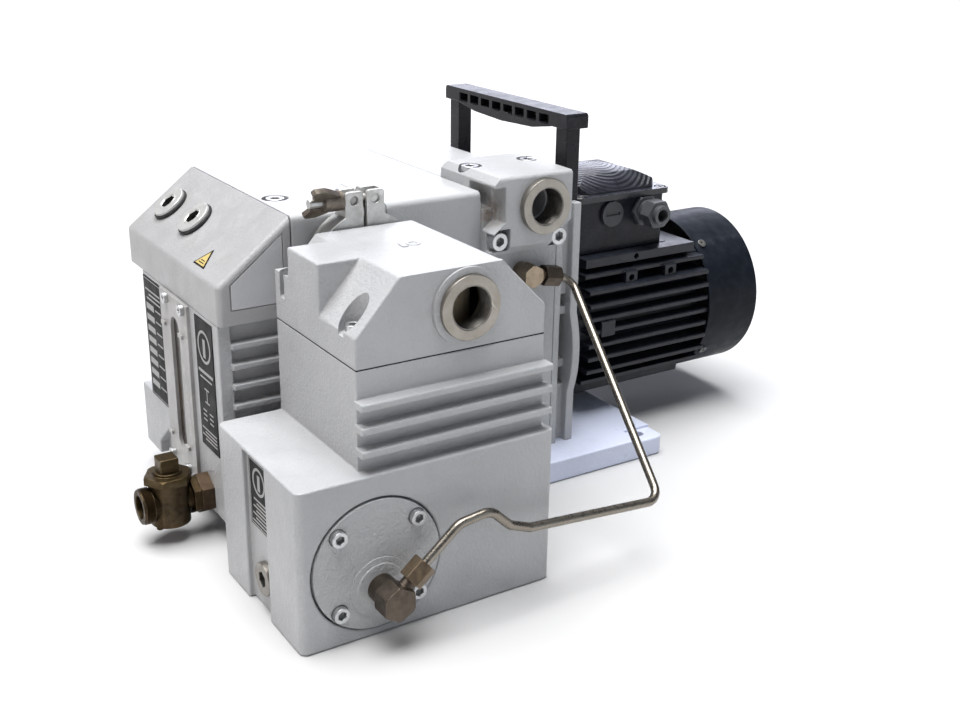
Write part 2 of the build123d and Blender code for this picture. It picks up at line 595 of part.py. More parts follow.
def elbow_body(elbow):
    x, z, face, deg, size = elbow
    back = face - BRANCH_OFF * size
    body = rod_y(9 * size, face - 10 * size, face, x, z)
    body += hex_head(20 * size, 14 * size, (x, face - 10 * size, z), (0, -1, 0), both=True)
    origin, way = along(elbow, 0)
    run = Plane(origin=origin, x_dir=(0, 1, 0), z_dir=way)
    body += extrude(run * Circle(4.6), 4 + 12 * size)
    body -= extrude(run * Circle(TUBE_R), 5 + 12 * size)
    return body + rod_y(5, face, face + 6, x, z) - rod_y(TUBE_R, back, face + 7, x, z)


def elbow_fittings():
    return [elbow_body(LOWER_ELBOW), elbow_body(UPPER_ELBOW)]


def fitting_nuts():
    out = []
    for elbow in (LOWER_ELBOW, UPPER_ELBOW):
        reach = 2 + 12 * elbow[4]
        origin, way = along(elbow, reach)
        nut = hex_head(14, 14, origin, way, (0, 1, 0), both=True)
        run = Plane(origin=along(elbow, reach - 1)[0], x_dir=(0, 1, 0), z_dir=way)
        out.append(nut - extrude(run * Circle(TUBE_R + 0.01), 20) - extrude(run * Circle(4.6), 3))
    return out


def oil_return_tube():
    start, rise = along(LOWER_ELBOW, 10)[0], along(LOWER_ELBOW, 58)[0]
    end, knee = along(UPPER_ELBOW, 10)[0], along(UPPER_ELBOW, 37)[0]
    low = start.Y
    path = FilletPolyline(start, rise, (105, low, 73), (119, low, 59.5), (134, low, 53.5), (240, -245.5, 44),
                          knee, end, radius=12)
    across = Plane(origin=path @ 0, z_dir=path % 0)
    tube = sweep(across * Circle(TUBE_R), path=path)
    return tube - sweep(across * Circle(TUBE_R - 1), path=path)


def filter_drain_plug():
    plug = rod_x(11, -13, -9, -172, 24) + rod_x(8, -9, -4, -172, 24)
    return plug - hexagon(9, 5, (-14, -172, 24), (1, 0, 0))


# ---- motor ---------------------------------------------------------------
def motor_end_shield():
    plate = block(BELL_BACK, 300, -68, 68, AXIS_Z - 68, AXIS_Z + 68)
    plate = soften(plate, 22, Axis.X)
    plate += rod_x(58, 279, BELL_BACK + 1) - rod_x(50, 278, BELL_BACK)
    plate -= rod_x(20, 288, 301) + rod_x(14, 278, 289)
    return plate


def motor_frame():
    body = rod_x(FRAME_R, 300, MOTOR_X1)
    for i in range(-4, 5):
        dz = MOTOR_FIN_PITCH * i
        half = min(MOTOR_FIN_REACH, math.sqrt(72 ** 2 - dz ** 2))
        fin = block(MOTOR_FIN_X0, MOTOR_X1, -half, half, AXIS_Z + dz - 1.8, AXIS_Z + dz + 1.8)
        body += fin
    for i in range(-3, 4):
        drop = min(MOTOR_FIN_REACH, math.sqrt(72 ** 2 - (10 * i) ** 2))
        body += block(MOTOR_FIN_X0, MOTOR_X1, 10 * i - 1.5, 10 * i + 1.5, AXIS_Z - drop, AXIS_Z)
    body += block(312, 411, -BOX_HALF + 2, BOX_HALF - 2, AXIS_Z + 20, 150)
    body += block(318, 431, -54, 54, 142, 149.5)
    for side in (-1, 1):
        y0, y1 = sorted((side * 40, side * 59.5))
        for x in (361.0, 402.0):
            body += block(x - 6, x + 6, y0, y1, AXIS_Z + 33.6, AXIS_Z + 44.8)
            body -= rod_y(2.5, min(side * 54, side * 60), max(side * 54, side * 60), x, 130.5)
        y0, y1 = sorted((side * 50, side * 66.5))
        body += block(327, 341, y0, y1, 87, 100)
        body -= rod_y(2.2, min(side * 48, side * 55), max(side * 48, side * 55), 369, 146)
    body -= rod_x(FRAME_IN, 299, 431) + rod_x(20, 430, 442)
    return body


def motor_stator():
    core = ring_x(FRAME_IN, 31, 325, 415)
    return core + ring_x(44, 34, 312, 326) + ring_x(44, 34, 414, 428)


def motor_rotor():
    return rod_x(30.4, 325, 415) + rod_x(SHAFT_R, 264, 478)


def motor_bearings():
    return [ring_x(20, SHAFT_R + RUN_FIT, a, b) for a, b in ((289, 300), (431, 441))]


def fan():
    body = ring_x(16, SHAFT_R, 456, 474) + (ring_x(58, 15, 456, 459))
    for i in range(8):
        blade = block(459, 473, -1.2, 1.2, AXIS_Z + 15, AXIS_Z + 57)
        body += Pos(0, 0, AXIS_Z) * Rot(45 * i, 0, 0) * Pos(0, 0, -AXIS_Z) * blade
    return body


def fan_cowl():
    cowl = ring_x(COWL_R, COWL_R - 1.6, MOTOR_X1, COWL_X1) + rod_x(COWL_R, COWL_X1 - 1.6, COWL_X1)
    for r0, r1 in ((14, 20), (26, 32), (38, 44), (50, 56)):
        slots = ring_x(r1, r0, COWL_X1 - 2, COWL_X1 + 1)
        slots -= block(COWL_X1 - 3, COWL_X1 + 2, -3, 3, 0, 200) + block(COWL_X1 - 3, COWL_X1 + 2, -80, 80, 88, 94)
        cowl -= slots
    for seat, n in cowl_screw_places():
        cowl -= shank_hole(2, 6, seat, n)
    return cowl


def cowl_lugs():
    out = None
    for seat, n in cowl_screw_places():
        a = math.degrees(math.atan2(n[2], n[1]))
        lug = Pos(442, n[1] * 63, AXIS_Z + n[2] * 63) * Rot(a, 0, 0) * Box(22, 10, 10)
        lug = (lug & rod_x(COWL_R - 1.6, 420, 450)) - shank_hole(2, 6, seat, n)
        out = lug if out is None else out + lug
    return out


def small_screws():
    out = [cap_screw(4, 3, 2, 7, 3, seat, n) for seat, n in sight_screw_places()]
    out += [cap_screw(3.6, 1.6, 2, 5.5, 2.5, seat, n) for seat, n in cowl_screw_places()]
    return out + [cap_screw(4, 3, 2, 9, 3, seat, n) for seat, n in lid_corner_places()]


def terminal_box():
    box = block(BOX_X0, BOX_X1, -BOX_HALF, BOX_HALF, 150, BOX_Z1)
    box = soften(box, 4, Axis.Z) - block(BOX_X0 + 4, BOX_X1 - 4, -BOX_HALF + 4, BOX_HALF - 4, 154, BOX_Z1 + 1)
    for seat, n in lid_corner_places():
        box += rod_z(5, 172, BOX_Z1, seat[0] + (3 if seat[0] < 360 else -3), seat[1] * 0.93) \
            - rod_z(2, 180, BOX_Z1 + 1, seat[0], seat[1])
        box -= shank_hole(2, 10, seat, n)
    box -= rod_y(8, -43, -37, 350, 181) + rod_y(8, -43, -37, 384, 180)
    return box


def terminal_lid():
    lid = soften(block(314.5, 408.5, -45, 45, BOX_Z1, 197), 5, Axis.Z)
    arch_long = Pos(361.5, 0, 214 - 70) * Rot(90, 0, 0) * Cylinder(70, 90)
    arch_cross = Pos(361.5, 0, 214 - 56) * Rot(0, 90, 0) * Cylinder(56, 90)
    dome = soften(block(324, 399, -39, 39, 196.5, 216), 9, Axis.Z) & arch_long & arch_cross
    lid = lid + dome
    for seat, n in lid_corner_places():
        lid -= shank_hole(2, 9, seat, n) + shank_hole(5, -6, seat, n)
    return lid


def cable_gland():
    gland = hex_head(23, 4, (384, -42, 180), (0, -1, 0), (1, 0, 0)) + rod_y(9, -52, -46, 384, 180)
    gland += hex_head(21, 11, (384, -51, 180), (0, -1, 0), (1, 0, 0), both=True) + rod_y(8, -66, -61, 384, 180)
    gland += rod_y(8, -42, -38, 384, 180)
    return gland - rod_y(5, -67, -37, 384, 180)


def blanking_plug():
    plug = rod_y(10.5, -45, -42, 350, 181) + rod_y(8, -42, -38, 350, 181)
    return plug - block(343, 357, -46, -43.8, 180, 182)


# ---- fastener groups -----------------------------------------------------
def cap_screws_m8():
    return [cap_screw(6.5, 8, 4, 75, 6, seat, n) for seat, n in m8_places()]


def filter_screws():
    out = [cap_screw(5, 6, 3, 14, 5, seat, n) for seat, n in cover_screw_places()]
    return out + [cap_screw(5, 6, 3, 30, 5, seat, n) for seat, n in lid_screw_places()]


# ---- write every piece ---------------------------------------------------
save("oil_case", oil_case())
save("sight_frame", sight_frame())
save("sight_glass", sight_glass())
save("hood", hood())
save("hood_side_inserts", *hood_side_inserts())
save("fill_plugs", *fill_plugs())
save("labels", *labels())
save("drain_adapter", drain_adapter())
save("drain_valve_body", drain_valve_body())
save("drain_valve_bonnet", drain_valve_bonnet())
save("drain_valve_stem", drain_valve_stem())
save("pump_case", pump_case())
save("exhaust_deck", exhaust_deck())
save("top_cover", top_cover())
save("intake_block", intake_block())
save("port_rings", *port_rings())
save("retention_disc", retention_disc())
save("cap_screws_m8", *cap_screws_m8())
save("stator_ring_high", stator_ring_high())
save("stator_ring_low", stator_ring_low())
save("end_plates", *end_plates())
save("rotor_high", rotor(144.1, 213.9, 138, 262))
save("rotor_low", rotor(98.1, 131.9, 80, 138))
save("vanes", *vanes())
save("plain_bushes", *plain_bushes())
save("shaft_seal", shaft_seal())
save("coupling_hubs", *coupling_hubs())
save("coupling_spider", coupling_spider())
save("bell_housing", bell_housing())
save("base_plate", base_plate())
save("rubber_feet", *rubber_feet())
save("handle_grip", handle_grip())
save("handle_uprights", *handle_uprights())
save("clamp_half_fixed", clamp_half_fixed())
save("clamp_half_hinged", clamp_half_hinged())
save("clamp_pins", *clamp_pins())
save("clamp_swing_bolt", clamp_swing_bolt())
save("clamp_wing_nut", clamp_wing_nut())
save("filter_case", filter_case())
save("filter_lid", filter_lid())
save("filter_screws", *filter_screws())
save("filter_element", filter_element())
save("filter_cover", filter_cover())
save("float_arm", float_arm())
save("elbow_fittings", *elbow_fittings())
save("fitting_nuts", *fitting_nuts())
save("oil_return_tube", oil_return_tube())
save("filter_drain_plug", filter_drain_plug())
save("motor_end_shield", motor_end_shield())
save("motor_frame", motor_frame() + cowl_lugs())
save("motor_stator", motor_stator())
save("motor_rotor", motor_rotor())
save("motor_bearings", *motor_bearings())
save("fan", fan())
save("fan_cowl", fan_cowl())
save("small_screws", *small_screws())
save("terminal_box", terminal_box())
save("terminal_lid", terminal_lid())
save("cable_gland", cable_gland())
save("blanking_plug", blanking_plug())
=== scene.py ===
"""Looks of the rotary vane vacuum pump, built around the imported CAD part.

Lengths are drawn in mm from the front of the hood, the shaft plane and the floor, and at() turns them into
the frame's metres. Each outside part is a copy of its CAD node with rounded edges, and small trim is built
on top of it. The parts inside keep their CAD mesh.
"""
import json
import math

import bmesh
import bpy
import numpy as np
from mathutils import Matrix, Vector
from mathutils.bvhtree import BVHTree

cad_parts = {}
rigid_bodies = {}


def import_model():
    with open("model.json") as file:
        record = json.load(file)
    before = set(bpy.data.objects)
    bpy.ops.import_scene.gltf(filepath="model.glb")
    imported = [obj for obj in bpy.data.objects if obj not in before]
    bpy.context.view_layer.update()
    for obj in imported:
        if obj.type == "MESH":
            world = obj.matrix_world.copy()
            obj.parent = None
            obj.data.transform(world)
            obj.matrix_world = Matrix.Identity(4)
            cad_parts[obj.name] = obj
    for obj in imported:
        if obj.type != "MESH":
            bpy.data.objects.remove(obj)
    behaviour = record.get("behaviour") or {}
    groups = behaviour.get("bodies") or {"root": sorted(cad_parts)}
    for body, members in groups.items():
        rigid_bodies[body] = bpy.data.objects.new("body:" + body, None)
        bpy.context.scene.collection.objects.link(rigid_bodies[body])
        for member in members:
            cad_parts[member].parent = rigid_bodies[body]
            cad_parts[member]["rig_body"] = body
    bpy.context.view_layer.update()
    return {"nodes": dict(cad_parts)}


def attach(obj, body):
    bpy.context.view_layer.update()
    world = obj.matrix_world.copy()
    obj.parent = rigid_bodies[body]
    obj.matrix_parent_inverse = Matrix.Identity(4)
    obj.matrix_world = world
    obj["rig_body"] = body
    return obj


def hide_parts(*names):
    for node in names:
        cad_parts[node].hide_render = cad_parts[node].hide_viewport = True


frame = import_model()
NODES = frame["nodes"]
SLOT_X = 263.0                       # the frame's origin, from the front of the hood
FILL_PLUG_X = 24.5
FILL_PLUG_Y = {"far": 58.4, "near": 8.4}
INTAKE_PORT = (237.0, 215.0)         # x and z of each port's axis, which runs along y
EXHAUST_PORT = (104.3, 194.8)
SHARP_FROM = 32.0                    # degrees between two faces from which their edge is rounded
SLOPE_RUN, SLOPE_LOW, SLOPE_HIGH = 51.5, 186.0, 226.0


# ---- places ----------------------------------------------------------------
def at(x, y, z):
    return Vector((x - SLOT_X, y, z)) * 0.001


def axes_for(normal):
    """Three unit vectors: across, up and along a given normal."""
    n = Vector(normal).normalized()
    up = Vector((0, 0, 1)) if abs(n.z) < 0.9 else Vector((1, 0, 0))
    across = up.cross(n).normalized()
    return across, n.cross(across), n


def on_slope(x, y, lift=0.0):
    """A point on the hood's slope, and the slope's normal."""
    rise = SLOPE_HIGH - SLOPE_LOW
    n = Vector((-rise, 0, SLOPE_RUN)).normalized()
    p = Vector((x, y, SLOPE_LOW + rise * x / SLOPE_RUN)) + n * lift
    return p, n


# ---- node trees --------------------------------------------------------------
class Finish:
    """A procedural material, built node by node."""

    def __init__(self, name, **sockets):
        self.mat = bpy.data.materials.new(name)
        self.mat.use_nodes = True
        self.tree = self.mat.node_tree
        self.tree.nodes.clear()
        out = self.tree.nodes.new("ShaderNodeOutputMaterial")
        self.bsdf = self.tree.nodes.new("ShaderNodeBsdfPrincipled")
        self.join(self.bsdf.outputs[0], out.inputs[0])
        self.place = self.tree.nodes.new("ShaderNodeTexCoord").outputs["Object"]
        for key, value in sockets.items():
            self.bsdf.inputs[key.replace("_", " ")].default_value = value

    def join(self, a, b):
        self.tree.links.new(a, b)

    def put(self, kind, inputs=(), **settings):
        node = self.tree.nodes.new(kind)
        for key, value in settings.items():
            setattr(node, key, value)
        for key, value in dict(inputs).items():
            if isinstance(value, bpy.types.NodeSocket):
                self.join(value, node.inputs[key])
            else:
                node.inputs[key].default_value = value
        return node

    def noise(self, scale, detail=2.0, rough=0.5, place=None, twist=0.0):
        return self.put("ShaderNodeTexNoise",
                        {"Vector": place or self.place, "Scale": scale, "Detail": detail,
                                               "Roughness": rough, "Distortion": twist}).outputs[0]

    def cells(self, scale):
        return self.put("ShaderNodeTexVoronoi", {"Vector": self.place, "Scale": scale}).outputs[0]

    def stretch(self, x, y, z):
        return self.put("ShaderNodeVectorMath", {0: self.place, 1: (x, y, z)},
                        operation="MULTIPLY").outputs[0]

    def math(self, kind, a, b=0.0):
        return self.put("ShaderNodeMath", {0: a, 1: b}, operation=kind).outputs[0]

    def span(self, value, low, high, to_low=0.0, to_high=1.0):
        return self.put("ShaderNodeMapRange", {0: value, 1: low, 2: high, 3: to_low, 4: to_high}).outputs[0]

    def blend(self, share, a, b):
        node = self.tree.nodes.new("ShaderNodeMix")
        node.data_type = "RGBA"
        for socket, value in ((node.inputs[0], share), (node.inputs[6], a), (node.inputs[7], b)):
            if isinstance(value, bpy.types.NodeSocket):
                self.join(value, socket)
            elif isinstance(value, tuple) and len(value) == 3:
                socket.default_value = (*value, 1.0)
            else:
                socket.default_value = value
        return node.outputs[2]

    def axis(self, name):
        return self.put("ShaderNodeSeparateXYZ", {0: self.place}).outputs[name]

    def edges(self, low=0.5, high=0.62):
        """1 on outer edges, 0 elsewhere."""
        return self.span(self.put("ShaderNodeNewGeometry").outputs["Pointiness"], low, high)

    def hollows(self, low=0.40, high=0.49):
        """1 in inner corners, 0 elsewhere."""
        return self.span(self.put("ShaderNodeNewGeometry").outputs["Pointiness"], low, high, 1.0, 0.0)

    def facing_up(self):
        normal = self.put("ShaderNodeNewGeometry").outputs["Normal"]
        return self.put("ShaderNodeSeparateXYZ", {0: normal}).outputs["Z"]

    def bump(self, height, strength, distance, under=None):
        inputs = {"Height": height, "Strength": strength, "Distance": distance}
        if under is not None:
            inputs["Normal"] = under
        return self.put("ShaderNodeBump", inputs).outputs[0]

    def colour(self, socket):
        self.join(socket, self.bsdf.inputs["Base Color"])

    def rough(self, socket):
        self.join(socket, self.bsdf.inputs["Roughness"])

    def normal(self, socket):
        self.join(socket, self.bsdf.inputs["Normal"])


def cast_paint(name, tint, shade, peel, cast=0.45, rough=0.42, spots=0.5, stain=None):
    """Sprayed paint on a casting: orange peel, a soft sand-cast wave, dull patches, specks, rubbed edges,
    and grime with painted shade in the inner corners.
    """
    f = Finish(name, Coat_Weight=0.12, Coat_Roughness=0.25)
    patches = f.noise(14.0, 4.0, 0.6)
    col = f.blend(f.span(patches, 0.35, 0.7), tint, shade)
    # painted shade: inner corners are darkened towards a brown grey, partly grime and partly the shade that
    # falls there
    grime_and_shade = f.math("MULTIPLY", f.hollows(), f.span(f.noise(45.0, 4.0, 0.7), 0.4, 0.75, 0.1, 0.75))
    col = f.blend(grime_and_shade, col, (0.40, 0.35, 0.30))
    speck = f.span(f.noise(520.0, 2.0, 0.7), 0.71, 0.76, 0.0, spots)
    col = f.blend(speck, col, (0.33, 0.30, 0.28))
    worn = f.math("MULTIPLY", f.edges(0.53, 0.66), f.span(f.noise(90.0, 3.0, 0.7), 0.5, 0.72, 0.0, 0.45))
    col = f.blend(worn, col, (0.62, 0.62, 0.61))
    smudge = f.math("MULTIPLY", f.edges(0.51, 0.60), f.span(f.noise(35.0, 5.0, 0.75), 0.55, 0.75, 0.0, 0.5))
    col = f.blend(smudge, col, (0.22, 0.19, 0.165))
    if stain:
        away = f.put("ShaderNodeVectorMath", {0: f.place, 1: tuple(stain)},
                     operation="DISTANCE").outputs["Value"]
        ring = f.math("MULTIPLY", f.span(away, 0.004, 0.014, 1.0, 0.0),
                      f.span(f.noise(160.0, 4.0, 0.7), 0.35, 0.65))
        col = f.blend(ring, col, (0.20, 0.135, 0.085))
    f.colour(col)
    f.rough(f.span(f.noise(60.0, 3.0, 0.6), 0.3, 0.7, rough - 0.08, rough + 0.12))
    wave = f.bump(f.noise(95.0, 3.0, 0.55), cast, 0.0011)
    skin = f.bump(f.noise(430.0, 2.5, 0.6, twist=0.5), peel, 0.0012, wave)
    f.normal(f.bump(f.noise(2100.0, 1.0), peel * 0.5, 0.00008, skin))
    return f.mat


def dark_paint(name, tint, dust_and_sheen, rough, peel=0.25, dust_and_sheen_amount=0.55, coat=0.25, shine=0.3, rings=None):
    """Near-black enamel with dust and a painted bluish sheen on what faces up, and a greyer rub along the
    edges.
    """
    f = Finish(name, Coat_Weight=coat, Coat_Roughness=0.18, Specular_IOR_Level=shine)
    # painted sheen: faces that look up are lightened towards a bluish colour, partly dust and partly the
    # sheen of the light above and behind
    up = f.span(f.facing_up(), 0.55, 1.0)
    share = f.math("MULTIPLY", up, f.span(f.noise(70.0, 5.0, 0.65), 0.35, 0.75, 0.1, dust_and_sheen_amount))
    col = f.blend(f.span(f.noise(30.0, 4.0), 0.35, 0.7), tint, tuple(c * 1.5 for c in tint))
    col = f.blend(share, col, dust_and_sheen)
    rub = f.math("MULTIPLY", f.edges(0.52, 0.64), f.span(f.noise(140.0, 3.0), 0.42, 0.7, 0.0, 0.5))
    col = f.blend(rub, col, tuple(c * 5.0 + 0.03 for c in tint))
    f.colour(col)
    f.rough(f.math("ADD", f.math("MULTIPLY", share, 0.3),
                   f.span(f.noise(110.0, 3.0), 0.3, 0.7, rough - 0.06, rough + 0.1)))
    wave = f.bump(f.noise(150.0, 3.0), 0.35, 0.0006)
    if rings:
        flat = f.put("ShaderNodeVectorMath", {0: f.place, 1: (1.0, 1.0, 0.0)},
                     operation="MULTIPLY").outputs[0]
        away = f.put("ShaderNodeVectorMath", {0: flat, 1: tuple(rings)},
                     operation="DISTANCE").outputs["Value"]
        ridge = f.math("SINE", f.math("MULTIPLY", away, 2 * math.pi / 0.0036))
        wave = f.bump(f.math("MULTIPLY", ridge, f.span(f.axis("Z"), 0.1985, 0.2005)), 0.9, 0.0005, wave)
    f.normal(f.bump(f.noise(800.0, 2.0), peel, 0.00018, wave))
    return f.mat


def moulded(name, tint, rough=0.42, grain=0.3, shine=0.5):
    """Black moulded plastic with a fine grain and scuffed edges."""
    f = Finish(name, Specular_IOR_Level=shine, Sheen_Weight=0.04, Sheen_Roughness=0.4)
    rub = f.math("MULTIPLY", f.edges(0.52, 0.66), f.span(f.noise(200.0, 4.0, 0.7), 0.45, 0.75, 0.0, 0.6))
    col = f.blend(f.span(f.noise(26.0, 4.0), 0.3, 0.75), tint, tuple(c * 1.45 for c in tint))
    f.colour(f.blend(rub, col, tuple(c * 3.0 + 0.05 for c in tint)))
    f.rough(f.span(f.noise(90.0, 4.0, 0.6), 0.3, 0.75, rough - 0.07, rough + 0.12))
    f.normal(f.bump(f.cells(1400.0), grain, 0.00012, f.bump(f.noise(120.0, 2.0), 0.15, 0.0004)))
    return f.mat


def bare_metal(name, tint, stain, rough=0.3, stains=0.5, marks=0.25, brushed=(1.0, 1.0, 1.0), scale=300.0,
               dark_hollows=0.8, dents=0.2, metal=1.0):
    """Bare or plated metal: fine machining marks, stains that gather in corners, bright rubbed edges."""
    f = Finish(name, Metallic=metal)
    patch = f.span(f.noise(120.0, 5.0, 0.65), 0.38, 0.72, 0.0, stains)
    col = f.blend(patch, tint, stain)
    col = f.blend(f.math("MULTIPLY", f.hollows(0.38, 0.49), dark_hollows), col,
                  tuple(c * 0.35 for c in stain))
    bright = f.math("MULTIPLY", f.edges(0.52, 0.64), f.span(f.noise(260.0, 3.0), 0.35, 0.7, 0.1, 0.8))
    f.colour(f.blend(bright, col, tuple(min(1.0, c * 1.25 + 0.05) for c in tint)))
    lines = f.noise(scale, 3.0, 0.6, place=f.stretch(*brushed))
    f.rough(f.math("ADD", f.math("MULTIPLY", patch, 0.25),
                   f.span(lines, 0.3, 0.7, rough - 0.07, rough + 0.1)))
    f.normal(f.bump(lines, marks, 0.0001, f.bump(f.noise(180.0, 3.0), dents, 0.0003)))
    return f.mat


def turned_metal(name, tint, stain, rough, port):
    """A turned face: fine rings about a port's axis, with a soft tarnish."""
    f = Finish(name, Metallic=1.0, Anisotropic=0.5)
    centre = at(port[0], 0, port[1])
    offset = f.put("ShaderNodeVectorMath", {0: f.place, 1: tuple(centre)}, operation="SUBTRACT").outputs[0]
    flat = f.put("ShaderNodeVectorMath", {0: offset, 1: (1.0, 0.0, 1.0)}, operation="MULTIPLY").outputs[0]
    radius = f.put("ShaderNodeVectorMath", {0: flat}, operation="LENGTH").outputs["Value"]
    rings = f.math("SINE", f.math("MULTIPLY", radius, 19000.0))
    rings = f.math("ADD", f.math("MULTIPLY", rings, 0.5), f.noise(900.0, 2.0))
    patch = f.span(f.noise(90.0, 5.0, 0.65), 0.35, 0.72, 0.0, 0.7)
    col = f.blend(patch, tint, stain)
    col = f.blend(f.math("MULTIPLY", f.hollows(0.38, 0.49), 0.7), col, tuple(c * 0.3 for c in stain))
    f.colour(f.blend(f.edges(0.53, 0.66), col, tuple(min(1.0, c * 1.3 + 0.06) for c in tint)))
    f.rough(f.span(rings, 0.2, 1.2, rough - 0.06, rough + 0.1))
    f.normal(f.bump(rings, 0.18, 0.00006))
    return f.mat


def rubber(name, tint=(0.012, 0.012, 0.013), rough=0.62):
    f = Finish(name, Specular_IOR_Level=0.4)
    f.colour(f.blend(f.span(f.noise(150.0, 4.0), 0.35, 0.75), tint, tuple(c * 2.2 + 0.01 for c in tint)))
    f.rough(f.span(f.noise(240.0, 3.0), 0.3, 0.7, rough - 0.1, rough + 0.12))
    f.normal(f.bump(f.noise(1300.0, 2.0), 0.25, 0.0001))
    return f.mat


def film(name, tint, rough=0.34, fade=0.3):
    """Printed label film: slightly faded, faintly creased."""
    f = Finish(name, Coat_Weight=0.0, Specular_IOR_Level=0.12)
    f.colour(f.blend(f.span(f.noise(60.0, 5.0, 0.7), 0.35, 0.8, 0.0, fade), tint,
                     tuple(c * 0.6 + 0.05 for c in tint)))
    f.rough(f.span(f.noise(90.0, 3.0), 0.3, 0.7, rough - 0.06, rough + 0.12))
    f.normal(f.bump(f.noise(170.0, 2.0), 0.12, 0.0002))
    return f.mat


def oil_glass():
    """The sight glass, with oil up to a little above its middle and a dirty film over it."""
    f = Finish("sight_glass_oil", Coat_Weight=0.3, Coat_Roughness=0.1, IOR=1.45, Specular_IOR_Level=0.25)
    level = f.span(f.axis("Z"), 0.0965, 0.0975)
    film_mark = f.span(f.noise(70.0, 4.0, 0.6, place=f.stretch(1, 1, 0.25)), 0.35, 0.75, 0.0, 0.5)
    oil = f.blend(f.span(f.axis("Z"), 0.045, 0.097), (0.018, 0.011, 0.007), (0.040, 0.026, 0.015))
    air = f.blend(film_mark, (0.026, 0.021, 0.018), (0.07, 0.06, 0.05))
    f.colour(f.blend(level, oil, air))
    f.rough(f.span(film_mark, 0.0, 0.5, 0.12, 0.4))
    f.normal(f.bump(f.noise(60.0, 2.0), 0.05, 0.0006))
    return f.mat


def paper(name, tint, pleat):
    """Pleated filter paper, soaked darker in places."""
    f = Finish(name, Roughness=0.85, Sheen_Weight=0.2)
    f.colour(f.blend(f.span(f.noise(40.0, 5.0), 0.3, 0.75), tint, tuple(c * 0.55 for c in tint)))
    f.normal(f.bump(f.noise(pleat, 1.0, place=f.stretch(1, 1, 0.02)), 0.8, 0.001))
    return f.mat


WHITE = cast_paint("paint_light_grey_cast", (0.41, 0.415, 0.425), (0.365, 0.37, 0.38), 0.6)
STAINED = cast_paint("paint_light_grey_stained", (0.42, 0.425, 0.435), (0.37, 0.375, 0.385), 0.45,
                     stain=at(203, -93, 211))
PLAIN = cast_paint("paint_light_grey_smooth", (0.43, 0.435, 0.445), (0.40, 0.405, 0.415), 0.3, cast=0.16,
                   rough=0.38, spots=0.35)
HOOD = cast_paint("paint_light_grey_hood", (0.36, 0.36, 0.367), (0.325, 0.325, 0.33), 0.35, cast=0.2,
                  rough=0.40, spots=0.5)
INSERT = cast_paint("paint_light_grey_insert", (0.52, 0.525, 0.54), (0.48, 0.485, 0.50), 0.3, cast=0.16,
                    rough=0.38, spots=0.3)
PEEL = cast_paint("paint_light_grey_orange_peel", (0.41, 0.415, 0.42), (0.365, 0.37, 0.38), 1.0, cast=0.3,
                  rough=0.36, spots=0.3)
# painted sheen: the base's grey paint is made brighter and lavender blue, standing in for the bluish sheen
# its top catches
BASE_PAINT_AND_SHEEN = cast_paint("paint_grey_base_painted_blue_sheen", (0.62, 0.66, 0.81), (0.56, 0.595, 0.73), 0.35, cast=0.2,
                  rough=0.34, spots=0.4)
BLACK = dark_paint("motor_enamel_black", (0.0065, 0.0075, 0.0115), (0.030, 0.035, 0.050), 0.34, dust_and_sheen_amount=0.4,
                   coat=0.1)
BOX = dark_paint("terminal_box_enamel_black", (0.006, 0.0065, 0.010), (0.040, 0.044, 0.060), 0.27,
                 peel=0.35, dust_and_sheen_amount=0.5, coat=0.12, shine=0.15)
BOX_LID = dark_paint("terminal_lid_enamel_black", (0.008, 0.0085, 0.0125), (0.060, 0.064, 0.085), 0.25,
                     peel=0.3, dust_and_sheen_amount=0.6, coat=0.4, rings=at(361.5, 0, 0))
SHEET = dark_paint("cowl_sheet_dark_grey", (0.005, 0.0065, 0.010), (0.036, 0.042, 0.056), 0.38, peel=0.12,
                   dust_and_sheen_amount=0.4, coat=0.0, shine=0.1)
GRIP = moulded("handle_black_plastic", (0.008, 0.008, 0.011), 0.30, 0.25, shine=0.2)
PLASTIC = moulded("fitting_black_plastic", (0.016, 0.017, 0.020), 0.40, 0.25)
GLAND = moulded("gland_dark_grey_plastic", (0.050, 0.052, 0.058), 0.38, 0.2)
FRAME_PLASTIC = moulded("sight_frame_light_plastic", (0.27, 0.265, 0.26), 0.36, 0.12, shine=0.4)
ZINC = bare_metal("screw_zinc", (0.56, 0.57, 0.58), (0.36, 0.35, 0.33), 0.34, 0.35, marks=0.1, dents=0.04)
PLUG = bare_metal("plug_nickel", (0.58, 0.58, 0.57), (0.38, 0.37, 0.35), 0.36, 0.3, marks=0.08, dents=0.03,
                  metal=0.5)
DRAIN = bare_metal("plug_browned_steel", (0.30, 0.28, 0.255), (0.13, 0.11, 0.09), 0.34, 0.5, marks=0.1,
                   dents=0.05)
STEEL = bare_metal("steel_machined", (0.56, 0.56, 0.55), (0.33, 0.31, 0.28), 0.34, 0.45)
CLAMP = bare_metal("clamp_cast_alloy", (0.60, 0.60, 0.59), (0.40, 0.38, 0.35), 0.46, 0.5, marks=0.5,
                   scale=420.0)
WING = bare_metal("wing_nut_browned", (0.22, 0.19, 0.16), (0.09, 0.07, 0.055), 0.42, 0.7, marks=0.6,
                  scale=380.0)
BRASS = bare_metal("valve_aged_brass", (0.068, 0.047, 0.024), (0.026, 0.018, 0.010), 0.40, 0.9, marks=0.5,
                   scale=260.0, dark_hollows=1.0)
BRASS_EDGE = bare_metal("valve_worn_brass", (0.10, 0.072, 0.036), (0.04, 0.027, 0.014), 0.36, 0.7, marks=0.4)
PLATED = bare_metal("elbow_plated_brown", (0.125, 0.102, 0.082), (0.06, 0.048, 0.037), 0.36, 0.6, marks=0.3)
UNION = bare_metal("union_nut_golden_brown", (0.27, 0.205, 0.14), (0.13, 0.092, 0.058), 0.32, 0.6, marks=0.3)
